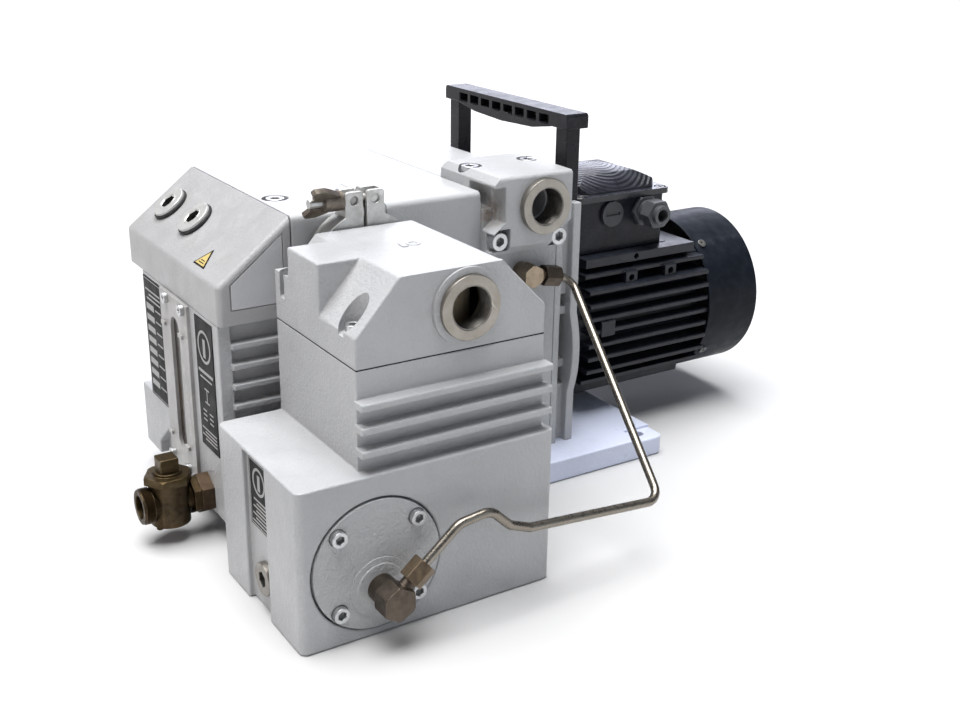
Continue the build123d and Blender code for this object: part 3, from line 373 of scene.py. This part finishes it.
ADAPTER = bare_metal("adapter_dark_brass", (0.085, 0.058, 0.038), (0.035, 0.024, 0.016), 0.45, 0.8,
                     marks=0.5)
GOLD = bare_metal("elbow_worn_gold", (0.34, 0.275, 0.205), (0.17, 0.125, 0.085), 0.30, 0.6, marks=0.2,
                  dents=0.08)
NUT_DARK = bare_metal("union_nut_dark", (0.115, 0.092, 0.072), (0.055, 0.043, 0.033), 0.38, 0.6, marks=0.3)
SCREW_DARK = bare_metal("screw_dark_zinc", (0.22, 0.22, 0.215), (0.10, 0.095, 0.09), 0.36, 0.6)
TUBE = bare_metal("tube_drawn_steel", (0.26, 0.235, 0.20), (0.15, 0.13, 0.108), 0.27, 0.2, marks=0.04,
                  dents=0.0, dark_hollows=0.0)
IRON = bare_metal("iron_machined", (0.30, 0.30, 0.30), (0.16, 0.15, 0.14), 0.42, 0.5)
COPPER = bare_metal("winding_copper", (0.60, 0.30, 0.17), (0.30, 0.13, 0.07), 0.35, 0.5, marks=0.8,
                    brushed=(0.1, 1, 1))
BRONZE = bare_metal("bush_bronze", (0.55, 0.38, 0.20), (0.33, 0.21, 0.11), 0.32, 0.4)
RING_IN = turned_metal("port_ring_turned_intake", (0.34, 0.32, 0.29), (0.22, 0.20, 0.175), 0.35, INTAKE_PORT)
RING_OUT = turned_metal("port_ring_turned_exhaust", (0.35, 0.325, 0.29), (0.22, 0.20, 0.17), 0.35,
                        EXHAUST_PORT)
RUBBER = rubber("rubber_black")
# painted shade: near-black for the faces inside joints and grooves, standing in for the shade there
SEAM_SHADE = rubber("joint_painted_shade_black", (0.006, 0.006, 0.007), 0.8)
# painted shade: a near-black oily coat for faces no view from outside reaches, also standing in for the
# shade in recesses, sockets and port tunnels
INSIDE_OIL_AND_SHADE = rubber("inside_oily_dark_painted_shade", (0.020, 0.019, 0.018), 0.45)
# painted shade: dark metal for the port bores and thread liners, standing in for the shade down the holes
BORE_SHADE = bare_metal("port_bore_painted_shade", (0.20, 0.19, 0.175), (0.07, 0.065, 0.06), 0.35, 0.6)
SPIDER = moulded("coupling_elastomer", (0.45, 0.05, 0.03), 0.5, 0.1)
LABEL = film("label_black_film", (0.009, 0.009, 0.010), 0.5, 0.08)
PRINT = film("label_silver_print", (0.36, 0.36, 0.355), 0.45, 0.35)
YELLOW = film("sticker_yellow", (0.50, 0.395, 0.15), 0.4, 0.4)
VANE = moulded("vane_composite", (0.10, 0.085, 0.06), 0.5, 0.3)
PAPER = paper("filter_paper", (0.62, 0.50, 0.33), 260.0)
OIL = oil_glass()


# ---- pieces ------------------------------------------------------------------
def dress(obj, mat, body):
    obj.data.materials.clear()
    obj.data.materials.append(mat)
    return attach(obj, body)


def sharpen(mesh, degrees):
    """Smooth faces everywhere, with a crease where two faces meet at more than an angle."""
    mesh.polygons.foreach_set("use_smooth", [True] * len(mesh.polygons))
    bm = bmesh.new()
    bm.from_mesh(mesh)
    limit = math.radians(degrees)
    for e in bm.edges:
        e.smooth = not (len(e.link_faces) != 2 or e.calc_face_angle(0.0) > limit)
    bm.to_mesh(mesh)
    bm.free()


def whole_part():
    """One search tree over every CAD node, to tell outside from inside."""
    points, faces = [], []
    for o in NODES.values():
        start = len(points)
        points += [v.co.copy() for v in o.data.vertices]
        faces += [tuple(start + i for i in p.vertices) for p in o.data.polygons]
    return BVHTree.FromPolygons(points, faces)


PART = whole_part()
STEPS = [(x, y, z) for x in (-1, 0, 1) for y in (-1, 0, 1) for z in (-1, 0, 1) if (x, y, z) != (0, 0, 0)]
LOOKS = [Vector(step).normalized() for step in STEPS]


def spread(count):
    """Directions spread evenly over a sphere."""
    turn = math.pi * (3 - math.sqrt(5))
    return [Vector((math.sqrt(1 - z * z) * math.cos(turn * i), math.sqrt(1 - z * z) * math.sin(turn * i), z))
            for i, z in ((i, 1 - (2 * i + 1) / count) for i in range(count))]


CLOSE_LOOKS = spread(160)


def in_open_air(point, normal, looks=LOOKS):
    start = point + normal * 0.0003
    return any(d.dot(normal) > 0.1 and PART.ray_cast(start, d)[0] is None for d in looks)


def is_sharp(edge):
    return len(edge.link_faces) == 2 and edge.calc_face_angle(0.0) > math.radians(SHARP_FROM)


def cut_ends(bm, reach):
    """Splits long sharp edges near both ends, so that rounding can stop short of a crowded corner."""
    for edge in [e for e in bm.edges if e.calc_length() > 3 * reach and is_sharp(e)]:
        for end in tuple(edge.verts):
            extra, _ = bmesh.utils.edge_split(edge, end, reach / edge.calc_length())
            edge = max(edge, extra, key=lambda e: e.calc_length())
    bm.verts.index_update()
    bm.edges.index_update()


def chains(bm, sharp):
    """Numbers the runs of sharp edges that follow on from each other, up to a cut; a flat edge gets -1."""
    at_vertex = {}
    for e in bm.edges:
        if sharp[e.index]:
            for v in e.verts:
                if len(v.link_edges) > 2:
                    at_vertex.setdefault(v.index, []).append(e.index)
    owner = list(range(len(bm.edges)))

    def head(k):
        while owner[k] != k:
            owner[k] = owner[owner[k]]
            k = owner[k]
        return k

    for pair in at_vertex.values():
        if len(pair) == 2:
            owner[head(pair[0])] = head(pair[1])
    return np.array([head(k) if sharp[k] else -1 for k in range(len(owner))])


def seen_chains(bm, chain):
    """The runs of which at least one edge lies in open air."""
    seen = set()
    for e in bm.edges:
        if chain[e.index] >= 0 and chain[e.index] not in seen:
            out = (e.link_faces[0].normal + e.link_faces[1].normal).normalized()
            if in_open_air((e.verts[0].co + e.verts[1].co) / 2, out):
                seen.add(chain[e.index])
    return seen


def touched(ends, points, reach):
    """Which edges come within a reach of any of the points."""
    start, along = ends[:, 0], ends[:, 1] - ends[:, 0]
    length = np.maximum((along * along).sum(1), 1e-12)
    near = np.zeros(len(ends), bool)
    for p in points:
        t = np.clip(((p - start) * along).sum(1) / length, 0, 1)
        near |= np.linalg.norm(start + along * t[:, None] - p, axis=1) < reach
    return near


def bevel(obj, width, segments):
    mod = obj.modifiers.new("rounded", "BEVEL")
    mod.width = width * 0.001
    mod.segments = segments
    mod.limit_method = "WEIGHT"
    mod.use_clamp_overlap = False
    mod.loop_slide = False
    mod.harden_normals = True


def round_edges(obj, width, segments, tested=True):
    """Rounds the sharp edges that can be seen, a whole run of edges alike. Where rounding would run into a
    neighbour the run's width is made smaller, or it is left sharp."""
    mesh = obj.data
    bm = bmesh.new()
    bm.from_mesh(mesh)
    sharp = np.array([is_sharp(e) for e in bm.edges])
    chain = chains(bm, sharp)
    seen = seen_chains(bm, chain) if tested else set(chain)
    bm.free()
    weight = np.array([1.0 if c >= 0 and c in seen else 0.0 for c in chain])
    ends = np.array([[tuple(mesh.vertices[i].co) for i in e.vertices] for e in mesh.edges])
    layer = mesh.attributes.new("bevel_weight_edge", "FLOAT", "EDGE")
    layer.data.foreach_set("value", weight.astype(np.float32))
    bevel(obj, width, segments)
    surface = BVHTree.FromPolygons([v.co for v in mesh.vertices], [p.vertices for p in mesh.polygons])
    for attempt in range(8 if tested else 0):
        strays = stray_points(obj, surface, (0.45 * width + 0.12) * 0.001)
        if not len(strays):
            break
        near = touched(ends, strays, 0.0016 * width)
        hit = np.isin(chain, np.unique(chain[near & (weight > 0)]))
        smaller = np.where(weight[hit] > 0.3, weight[hit] * 0.6, 0.0)
        weight[hit] = smaller if attempt < 5 else 0.0
        layer.data.foreach_set("value", weight.astype(np.float32))
        mesh.update()
    for edge, share, crease in zip(mesh.edges, weight, sharp):
        edge.use_edge_sharp = bool(crease and share == 0.0)


def shaped_triangles(obj):
    """The corners of an object's triangles after its modifiers."""
    graph = bpy.context.evaluated_depsgraph_get()
    graph.update()
    shaped = obj.evaluated_get(graph)
    mesh = shaped.to_mesh()
    mesh.calc_loop_triangles()
    places = np.zeros(len(mesh.vertices) * 3, np.float32)
    mesh.vertices.foreach_get("co", places)
    corners = np.zeros(len(mesh.loop_triangles) * 3, np.int32)
    mesh.loop_triangles.foreach_get("vertices", corners)
    shaped.to_mesh_clear()
    return places.reshape(-1, 3)[corners.reshape(-1, 3)]


def stray_points(obj, surface, limit):
    """Points of the CAD surface beside every rounded face that has left it or turned over."""
    triangles = shaped_triangles(obj)
    cross = np.cross(triangles[:, 1] - triangles[:, 0], triangles[:, 2] - triangles[:, 0])
    size = np.linalg.norm(cross, axis=1)
    found = set()
    for corners, out, twice_area in zip(triangles, cross, size):
        if twice_area <= 3e-8:
            continue
        a, b, c = corners
        tests = [corners.mean(0), (a + b) / 2, (b + c) / 2, (c + a) / 2]
        turned = surface.find_nearest(Vector(tests[0]))[1].dot(Vector(out)) < -0.1 * twice_area
        if turned or any(surface.find_nearest(Vector(t))[3] > limit for t in tests):
            found.update(tuple(surface.find_nearest(Vector(v))[0]) for v in corners)
    return np.array(sorted(found))


def skin(node, mat, width, segments=3, dark=None, inside=None):
    """A copy of a CAD node with its flat faces joined and its edges rounded; it stands for the node.
    dark picks faces, by their middle in drawing mm and their normal, that take black as painted shade in the
    joints."""
    source = NODES[node]
    bm = bmesh.new()
    bm.from_mesh(source.data)
    bmesh.ops.remove_doubles(bm, verts=bm.verts, dist=2e-6)
    if width:
        bmesh.ops.dissolve_limit(bm, angle_limit=math.radians(0.4), verts=bm.verts, edges=bm.edges)
        cut_ends(bm, (2.5 * width + 1.0) * 0.001)
    for face in bm.faces:
        middle = face.calc_center_median()
        if dark and dark(middle * 1000 + Vector((SLOT_X, 0, 0)), face.normal):
            face.material_index = 1
        # painted shade: faces that no ray from outside reaches take the dark inside material
        elif inside and not (in_open_air(middle, face.normal)
                             or in_open_air(middle, face.normal, CLOSE_LOOKS)):
            face.material_index = 2
    mesh = bpy.data.meshes.new(node + "_skin")
    bm.to_mesh(mesh)
    bm.free()
    for layer in [a.name for a in mesh.attributes if a.name in ("custom_normal", "UVMap")]:
        mesh.attributes.remove(mesh.attributes[layer])
    obj = bpy.data.objects.new(mesh.name, mesh)
    bpy.context.scene.collection.objects.link(obj)
    sharpen(mesh, 180.0 if width else SHARP_FROM)
    if width:
        round_edges(obj, width, segments)
    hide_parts(node)
    dress(obj, mat, source["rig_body"])
    obj.data.materials.append(SEAM_SHADE)
    obj.data.materials.append(inside or SEAM_SHADE)
    return obj


def piece(name, verts, faces, mat, body, slot, width=0.0, smooth=40.0):
    """A mesh from points in drawing mm."""
    mesh = bpy.data.meshes.new(name)
    mesh.from_pydata([at(*v) for v in verts], [], faces)
    bm = bmesh.new()
    bm.from_mesh(mesh)
    bmesh.ops.remove_doubles(bm, verts=bm.verts, dist=1e-7)
    bmesh.ops.recalc_face_normals(bm, faces=bm.faces)
    bm.to_mesh(mesh)
    bm.free()
    obj = bpy.data.objects.new(name, mesh)
    bpy.context.scene.collection.objects.link(obj)
    sharpen(mesh, smooth)
    if width:
        round_edges(obj, width, 2, tested=False)
    return dress(obj, mat, body)


def lathe(name, centre, normal, profile, mat, body, slot, around=72, smooth=40.0):
    """A turned piece: profile is a closed loop of (distance along the normal, radius) in mm."""
    across, up, n = axes_for(normal)
    verts, faces = [], []
    for i in range(around):
        a = 2 * math.pi * i / around
        for t, r in profile:
            verts.append(Vector(centre) + n * t + (across * math.cos(a) + up * math.sin(a)) * r)
    count = len(profile)
    for i in range(around):
        j = (i + 1) % around
        for k in range(count):
            m = (k + 1) % count
            faces.append((i * count + k, j * count + k, j * count + m, i * count + m))
    return piece(name, verts, faces, mat, body, slot, smooth=smooth)


def ring_profile(major, minor, lift=0.0, steps=12):
    return [(lift + minor * math.sin(2 * math.pi * k / steps),
             major + minor * math.cos(2 * math.pi * k / steps))
            for k in range(steps)]


def prism(outline, direction, length):
    """Vertices and faces of a flat outline pushed along a direction."""
    d = Vector(direction).normalized() * length
    base = [Vector(p) for p in outline]
    count = len(base)
    verts = base + [p + d for p in base]
    faces = [tuple(range(count)), tuple(range(count, 2 * count))]
    faces += [(i, (i + 1) % count, count + (i + 1) % count, count + i) for i in range(count)]
    return verts, faces


def gather(parts):
    """Several (vertices, faces) as one."""
    verts, faces = [], []
    for v, f in parts:
        start = len(verts)
        verts += v
        faces += [tuple(start + i for i in face) for face in f]
    return verts, faces


def rect(corner, u, v, width, height):
    u, v, c = Vector(u), Vector(v), Vector(corner)
    return [c, c + u * width, c + u * width + v * height, c + v * height]


# ---- skins of the CAD nodes --------------------------------------------------
def hood_seams(c, n):
    """The hood's back rim and the floor of the side insert's recess, painted black as the shade in these
    joints.
    """
    return c.x > 51.0 or (abs(n.y) > 0.9 and 87.5 < abs(c.y) < 88.5 and c.x < 50)


def lid_seams(c, n):
    """The filter lid's underside, painted black as the shade in the lid joint."""
    return c.z < 168.3 and n.z < -0.9


def case_seams(c, n):
    """The groove round the filter cover, painted black as the shade down the groove."""
    return c.y < -222.3 and abs(math.hypot(c.x - 37.5, c.z - 48) - 42.6) < 1.2 and c.y > -228.4


def deck_seams(c, n):
    """The exhaust deck's ends and its far side, painted black as the shade in these joints."""
    return n.x < -0.9 and c.x < 53 or n.x > 0.9 and c.x > 120 or n.y > 0.9 and c.y > -22.5


def cover_seams(c, n):
    """The top cover's edges towards the exhaust deck, painted black as the shade in the joint."""
    return n.x < -0.9 and c.x < 122 or n.y < -0.9 and -23 < c.y < -20


def foot_notch(c, n):
    """The open notch in the oil case's foot, painted black as the shadow under the body."""
    return 0.3 < c.x < 8.5 and 21.9 < c.y < 53.1 and 15 < c.z < 52


SKINS = [
    ("oil_case", WHITE, 1.1, 3, foot_notch),
    ("pump_case", WHITE, 1.1, 3, None),
    ("hood", HOOD, 0.7, 2, hood_seams),
    ("exhaust_deck", PLAIN, 0.8, 3, deck_seams),
    ("top_cover", PLAIN, 0.8, 3, cover_seams),
    ("intake_block", STAINED, 1.0, 3, None),
    ("bell_housing", WHITE, 1.0, 3, None),
    ("base_plate", BASE_PAINT_AND_SHEEN, 1.5, 3, None),
    ("filter_case", WHITE, 1.3, 3, case_seams),
    ("filter_lid", WHITE, 1.3, 3, lid_seams),
    ("filter_cover", PEEL, 0.7, 3, None),
    ("hood_side_inserts", INSERT, 0.25, 2, None),
    ("sight_frame", FRAME_PLASTIC, 0.4, 2, None),
    ("sight_glass", OIL, 0.4, 2, None),
    ("labels", LABEL, 0.1, 1, None),
    ("fill_plugs", PLUG, 0.6, 3, None),
    ("cap_screws_m8", ZINC, 0.5, 2, None),
    ("filter_screws", ZINC, 0.5, 2, None),
    ("small_screws", ZINC, 0.35, 2, None),
    ("filter_drain_plug", DRAIN, 0.6, 3, None),
    ("drain_adapter", ADAPTER, 0.5, 2, None),
    ("drain_valve_body", BRASS, 0.7, 3, None),
    ("drain_valve_bonnet", BRASS_EDGE, 0.6, 3, None),
    ("drain_valve_stem", BRASS_EDGE, 0.9, 3, None),
    ("elbow_fittings", PLATED, 0.45, 2, None),
    ("fitting_nuts", UNION, 0.35, 2, None),
    ("oil_return_tube", TUBE, 0.0, 1, None),
    ("clamp_half_fixed", CLAMP, 0.9, 3, None),
    ("clamp_half_hinged", CLAMP, 0.9, 3, None),
    ("clamp_pins", STEEL, 0.3, 2, None),
    ("clamp_swing_bolt", STEEL, 0.3, 2, None),
    ("clamp_wing_nut", WING, 0.8, 3, None),
    ("handle_grip", GRIP, 1.0, 3, None),
    ("handle_uprights", GRIP, 0.9, 3, None),
    ("cable_gland", GLAND, 0.5, 2, None),
    ("blanking_plug", PLASTIC, 0.5, 2, None),
    ("motor_end_shield", BLACK, 1.2, 3, None),
    ("motor_frame", BLACK, 0.7, 2, None),
    ("terminal_box", BOX, 0.8, 3, None),
    ("terminal_lid", BOX_LID, 0.9, 3, None),
    ("fan_cowl", SHEET, 0.5, 2, None),
    ("rubber_feet", RUBBER, 1.0, 2, None),
    ("fan", PLASTIC, 0.4, 2, None),
]
HOLLOW = ("oil_case", "pump_case", "hood", "exhaust_deck", "top_cover", "intake_block", "bell_housing",
          "filter_case")
for node, mat, width, segments, dark in SKINS:
    skin(node, mat, width, segments, dark, INSIDE_OIL_AND_SHADE if node in HOLLOW else None)

for node, mat in {
    "retention_disc": BRONZE, "stator_ring_high": IRON, "stator_ring_low": IRON, "end_plates": IRON,
    "rotor_high": IRON, "rotor_low": IRON, "vanes": VANE, "plain_bushes": BRONZE, "shaft_seal": RUBBER,
    "coupling_hubs": IRON, "coupling_spider": SPIDER, "filter_element": PAPER, "float_arm": STEEL,
    "motor_stator": COPPER, "motor_rotor": STEEL, "motor_bearings": STEEL,
}.items():
    NODES[node].data.materials.clear()
    NODES[node].data.materials.append(mat)

rings = skin("port_rings", RING_IN, 0.6, 3)
rings.data.materials.clear()
for mat in (RING_IN, RING_OUT, BORE_SHADE):
    rings.data.materials.append(mat)
# painted shade: the bore walls of the port rings take the dark bore material
for face in rings.data.polygons:
    c = face.center * 1000 + Vector((SLOT_X, 0, 0))
    x, z = INTAKE_PORT if c.x > 170 else EXHAUST_PORT
    reach = min(math.hypot(v.x * 1000 + SLOT_X - x, v.z * 1000 - z)
                for v in (rings.data.vertices[i].co for i in face.vertices))
    face.material_index = 2 if reach < 13.6 and abs(face.normal.y) < 0.5 else (0 if c.x > 170 else 1)


def repaint(obj, extra, pick):
    """Gives the faces that pick() accepts, by their middle in drawing mm, one more material."""
    obj.data.materials.append(extra)
    last = len(obj.data.materials) - 1
    for face in obj.data.polygons:
        if pick(face.center * 1000 + Vector((SLOT_X, 0, 0))):
            face.material_index = last


def skinned(node):
    return bpy.data.objects[node + "_skin"]


def in_plug_socket(c):
    """Below a fill plug's face and inside its hexagon."""
    for y in FILL_PLUG_Y.values():
        start, n = on_slope(FILL_PLUG_X, y)
        depth = (c - start).dot(n)
        if -3 < depth < 4.2 and ((c - start) - n * depth).length < 5.5:
            return True
    return False


# painted shade: the hex sockets of the fill plugs and the drain plug take the dark inside material
repaint(skinned("fill_plugs"), INSIDE_OIL_AND_SHADE, in_plug_socket)
repaint(skinned("filter_drain_plug"), INSIDE_OIL_AND_SHADE,
        lambda c: -12.7 < c.x < -8 and math.hypot(c.y + 172, c.z - 24) < 5.3)
repaint(skinned("elbow_fittings"), GOLD, lambda c: c.x > 150)
repaint(skinned("fitting_nuts"), NUT_DARK, lambda c: c.x > 150)
repaint(skinned("small_screws"), SCREW_DARK, lambda c: c.x > 300)


# ---- trim ----------------------------------------------------------------------
def on(node):
    return NODES[node]["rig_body"], node


LEFT, UP = Vector((-1, 0, 0)), Vector((0, 0, 1))
for tag, y in FILL_PLUG_Y.items():
    centre, n = on_slope(FILL_PLUG_X, y)
    lathe("plug_seal_" + tag, centre, n, ring_profile(12.7, 1.45, 1.3), RUBBER, *on("fill_plugs"))
    lathe("plug_socket_rim_" + tag, centre + n * 4.5, n, ring_profile(6.6, 0.35, 0.05, 8), PLUG,
          *on("fill_plugs"))


def print_bars(name, x, bars):
    """Thin raised bars of print on a face that looks along -X: each is (y, z, width, height)."""
    parts = [prism(rect((x, y, z), (0, 1, 0), UP, w, h), LEFT, 0.05) for y, z, w, h in bars]
    return piece(name, *gather(parts), PRINT, *on("labels"))


def print_ring(name, x, y, z, outer, inner):
    return lathe(name, (x, y, z), LEFT, [(0, inner), (0.05, inner), (0.05, outer), (0, outer)], PRINT,
                 *on("labels"))


def frame_bars(y0, y1, z0, z1, t):
    return [(y0, z0, y1 - y0, t), (y0, z1 - t, y1 - y0, t), (y0, z0 + t, t, z1 - z0 - 2 * t),
            (y1 - t, z0 + t, t, z1 - z0 - 2 * t)]


right = [(-74, 118.5, 26, 2.2), (-71.5, 114.6, 21, 1.2), (-64.8, 97.5, 8, 1.1), (-64.8, 107, 8, 1.1),
         (-61.3, 98.6, 1.1, 8.4)]
right += [(y, 84 + 3.4 * k, 6.5, 1.1) for y in (-70, -58.5) for k in range(3)]
right += [(-74, 76.8 - 2.6 * k, 26 - (5 if k % 2 else 0), 1.1) for k in range(4)]
print_bars("label_print_right", -0.6, right)
print_ring("label_ring_right", -0.6, -61, 138, 11.5, 9.6)
print_bars("label_ring_bar_right", -0.6, [(-63.2, 130.5, 4.4, 13)])
left = frame_bars(22.6, 58.2, 65.2, 155.8, 0.5)
left += [(25, 147 - 3.4 * k, 31 - (k * 7) % 12, 1.3) for k in range(3)]
left += [(25, 134.5 - 8.5 * k, 12, 1.2) for k in range(8)]
left += [(40, 132.5 - 8.5 * k, 16, 4.6) for k in range(8)]
print_bars("label_print_left", -0.6, left)
side = frame_bars(-180.2, -152.8, 54.8, 99.2, 0.8)
side += [(-178.4, 57 + 2.6 * k, 23.5 - (k * 5) % 9, 1.2) for k in range(7)]
print_bars("label_print_filter", -9.6, side)
print_ring("label_ring_filter", -9.6, -166.5, 86.5, 9.2, 7.4)
print_bars("label_ring_bar_filter", -9.6, [(-168.4, 80.5, 3.8, 10.5)])

centre, n = on_slope(8.5, -46.8, 0.4)
down = n.cross(Vector((0, 1, 0)))
corner = [centre + Vector((0, 1, 0)) * a + down * b for a, b in ((-7.4, 3.9), (7.4, 3.9), (0, -7.3))]
piece("sticker_face", *prism(corner, n, 0.06), YELLOW, *on("labels"))
lines = [prism(rect(centre + Vector((0, 1, 0)) * a + down * b + n * 0.06, (0, 1, 0), -down, w, 0.7), n, 0.04)
         for a, b, w in ((-4.2, 2.6, 8.4), (-3.2, 0.8, 6.4))]
piece("sticker_lines", *gather(lines), LABEL, *on("labels"))

# the thread liners take the dark bore material as painted shade
for name, (x, z), mouth, depth in (("intake", INTAKE_PORT, -111.5, 17), ("exhaust", EXHAUST_PORT, -224, 12)):
    ridges = [(k * 0.5, 13.35 if k % 3 else 12.95) for k in range(2 * depth)]
    liner = [(0, 13.48)] + ridges + [(depth, 13.48)]
    lathe("port_thread_" + name, (x, mouth, z), (0, 1, 0), liner, BORE_SHADE, *on("port_rings"), smooth=60.0)

threads = [(0, 11.2)] + [(0.5 + 0.45 * k, 12.65 if k % 2 else 12.05) for k in range(15)] + [(7.4, 11.2)]
lathe("drain_outlet_thread", (-41, -49, 28), LEFT, threads, BRASS, *on("drain_valve_body"), smooth=60.0)

lathe("cast_mark_ring", (100.5, -162, 218.9), UP, [(0, 2.6), (0.55, 2.9), (0.55, 4.4), (0, 4.8)], WHITE,
      *on("filter_lid"), around=32)
mark = prism([(91, -166.2, 218.9), (95.2, -166.2, 218.9), (94.4, -158, 218.9), (91.6, -158, 218.9)], UP, 0.6)
piece("cast_mark_bar", *mark, WHITE, *on("filter_lid"), width=0.25)


def joint_shadow_frame(name, x0, x1, y0, y1, z0, z1, wall, node):
    """A thin black frame in a horizontal joint, a painted shadow line along it."""
    outer = [(x0, y0), (x1, y0), (x1, y1), (x0, y1)]
    inner = [(x0 + wall, y0 + wall), (x1 - wall, y0 + wall), (x1 - wall, y1 - wall), (x0 + wall, y1 - wall)]
    verts = [(x, y, z) for z in (z0, z1) for x, y in outer + inner]
    faces = []
    for k in range(4):
        m = (k + 1) % 4
        faces += [(k, m, 8 + m, 8 + k), (4 + m, 4 + k, 12 + k, 12 + m), (k, 4 + k, 4 + m, m),
                  (8 + k, 8 + m, 12 + m, 12 + k)]
    return piece(name, verts, faces, SEAM_SHADE, *on(node))


joint_shadow_frame("lid_joint_painted_shadow", 30.9, 159.6, -219.1, -110.9, 167.5, 168.5, 4, "filter_lid")

# ---- camera, light and floor ---------------------------------------------------
SKY = [(0.0, (0.9, 0.9, 0.92)), (0.03, (0.5, 0.5, 0.52)), (0.10, (0.07, 0.075, 0.09)),
       (0.9, (0.22, 0.23, 0.25))]


def camera():
    yaw, pitch, roll = (math.radians(v) for v in (32.73, 20.46, 0.81))
    right = Vector((math.cos(yaw), -math.sin(yaw), 0))
    ahead = Vector((math.sin(yaw) * math.cos(pitch), math.cos(yaw) * math.cos(pitch), -math.sin(pitch)))
    up = right.cross(ahead)
    tilted = right * math.cos(roll) + up * math.sin(roll)
    upward = -right * math.sin(roll) + up * math.cos(roll)
    data = bpy.data.cameras.new("camera")
    data.sensor_width = 36.0
    data.lens = 46.31
    data.clip_start = 0.01
    data.dof.use_dof = False
    obj = bpy.data.objects.new("camera", data)
    turn = Matrix((tilted, upward, -ahead)).transposed().to_4x4()
    obj.matrix_world = Matrix.Translation((-0.5221, -0.7987, 0.4206)) @ turn
    bpy.context.scene.collection.objects.link(obj)
    bpy.context.scene.camera = obj


def area(name, place, target, size, watts, tint):
    data = bpy.data.lights.new(name, "AREA")
    data.shape = "RECTANGLE"
    data.size, data.size_y = size
    data.energy = watts
    data.color = tint
    obj = bpy.data.objects.new(name, data)
    obj.visible_camera = False
    obj.location = place
    obj.rotation_euler = (Vector(target) - Vector(place)).to_track_quat("-Z", "Y").to_euler()
    bpy.context.scene.collection.objects.link(obj)


def studio():
    """Wide soft light from overhead, a cool box behind for the sheen of level faces, and two weak fills."""
    world = bpy.data.worlds.new("studio")
    world.use_nodes = True
    tree = world.node_tree
    sky = tree.nodes["Background"]
    place = tree.nodes.new("ShaderNodeTexCoord").outputs["Generated"]
    split = tree.nodes.new("ShaderNodeSeparateXYZ")
    tree.links.new(place, split.inputs[0])
    ramp = tree.nodes.new("ShaderNodeValToRGB")
    tree.links.new(split.outputs["Z"], ramp.inputs[0])
    steps = ramp.color_ramp.elements
    while len(steps) < 4:
        steps.new(0.5)
    for step, (stop, value) in zip(steps, SKY):
        step.position = stop
        step.color = (*value, 1.0)
    tree.links.new(ramp.outputs[0], sky.inputs["Color"])
    bpy.context.scene.world = world
    bpy.context.scene.view_settings.view_transform = "Standard"
    overhead = bpy.data.lights.new("overhead", "SUN")
    overhead.energy = 6.35
    overhead.angle = math.radians(52.0)
    lamp = bpy.data.objects.new("overhead", overhead)
    lamp.rotation_euler = (math.radians(-4.0), math.radians(-6.0), 0)
    bpy.context.scene.collection.objects.link(lamp)
    area("softbox_behind", (1.65, 2.45, 1.15), (0, 0, 0.15), (2.6, 1.0), 34.0, (0.84, 0.86, 1.0))
    area("fill_left", (-1.7, -0.3, 0.7), (-0.1, 0, 0.12), (0.9, 0.8), 3.6, (1.0, 0.89, 0.79))
    area("fill_front", (0.9, -2.4, 1.0), (0, 0, 0.1), (1.4, 0.9), 4.0, (0.80, 0.92, 1.0))


def floor():
    f = Finish("floor_pale", Roughness=0.9, Specular_IOR_Level=0.1)
    f.colour(f.blend(f.span(f.noise(3.0, 3.0), 0.3, 0.7), (0.51, 0.51, 0.51), (0.50, 0.50, 0.505)))
    f.normal(f.bump(f.noise(300.0, 2.0), 0.05, 0.0004))
    mesh = bpy.data.meshes.new("floor")
    half = 20.0
    corners = [(x * half, y * half, -0.0003) for x, y in ((-1, -1), (1, -1), (1, 1), (-1, 1))]
    mesh.from_pydata(corners, [], [(0, 1, 2, 3)])
    obj = bpy.data.objects.new("floor", mesh)
    obj.data.materials.append(f.mat)
    bpy.context.scene.collection.objects.link(obj)


camera()
studio()
floor()
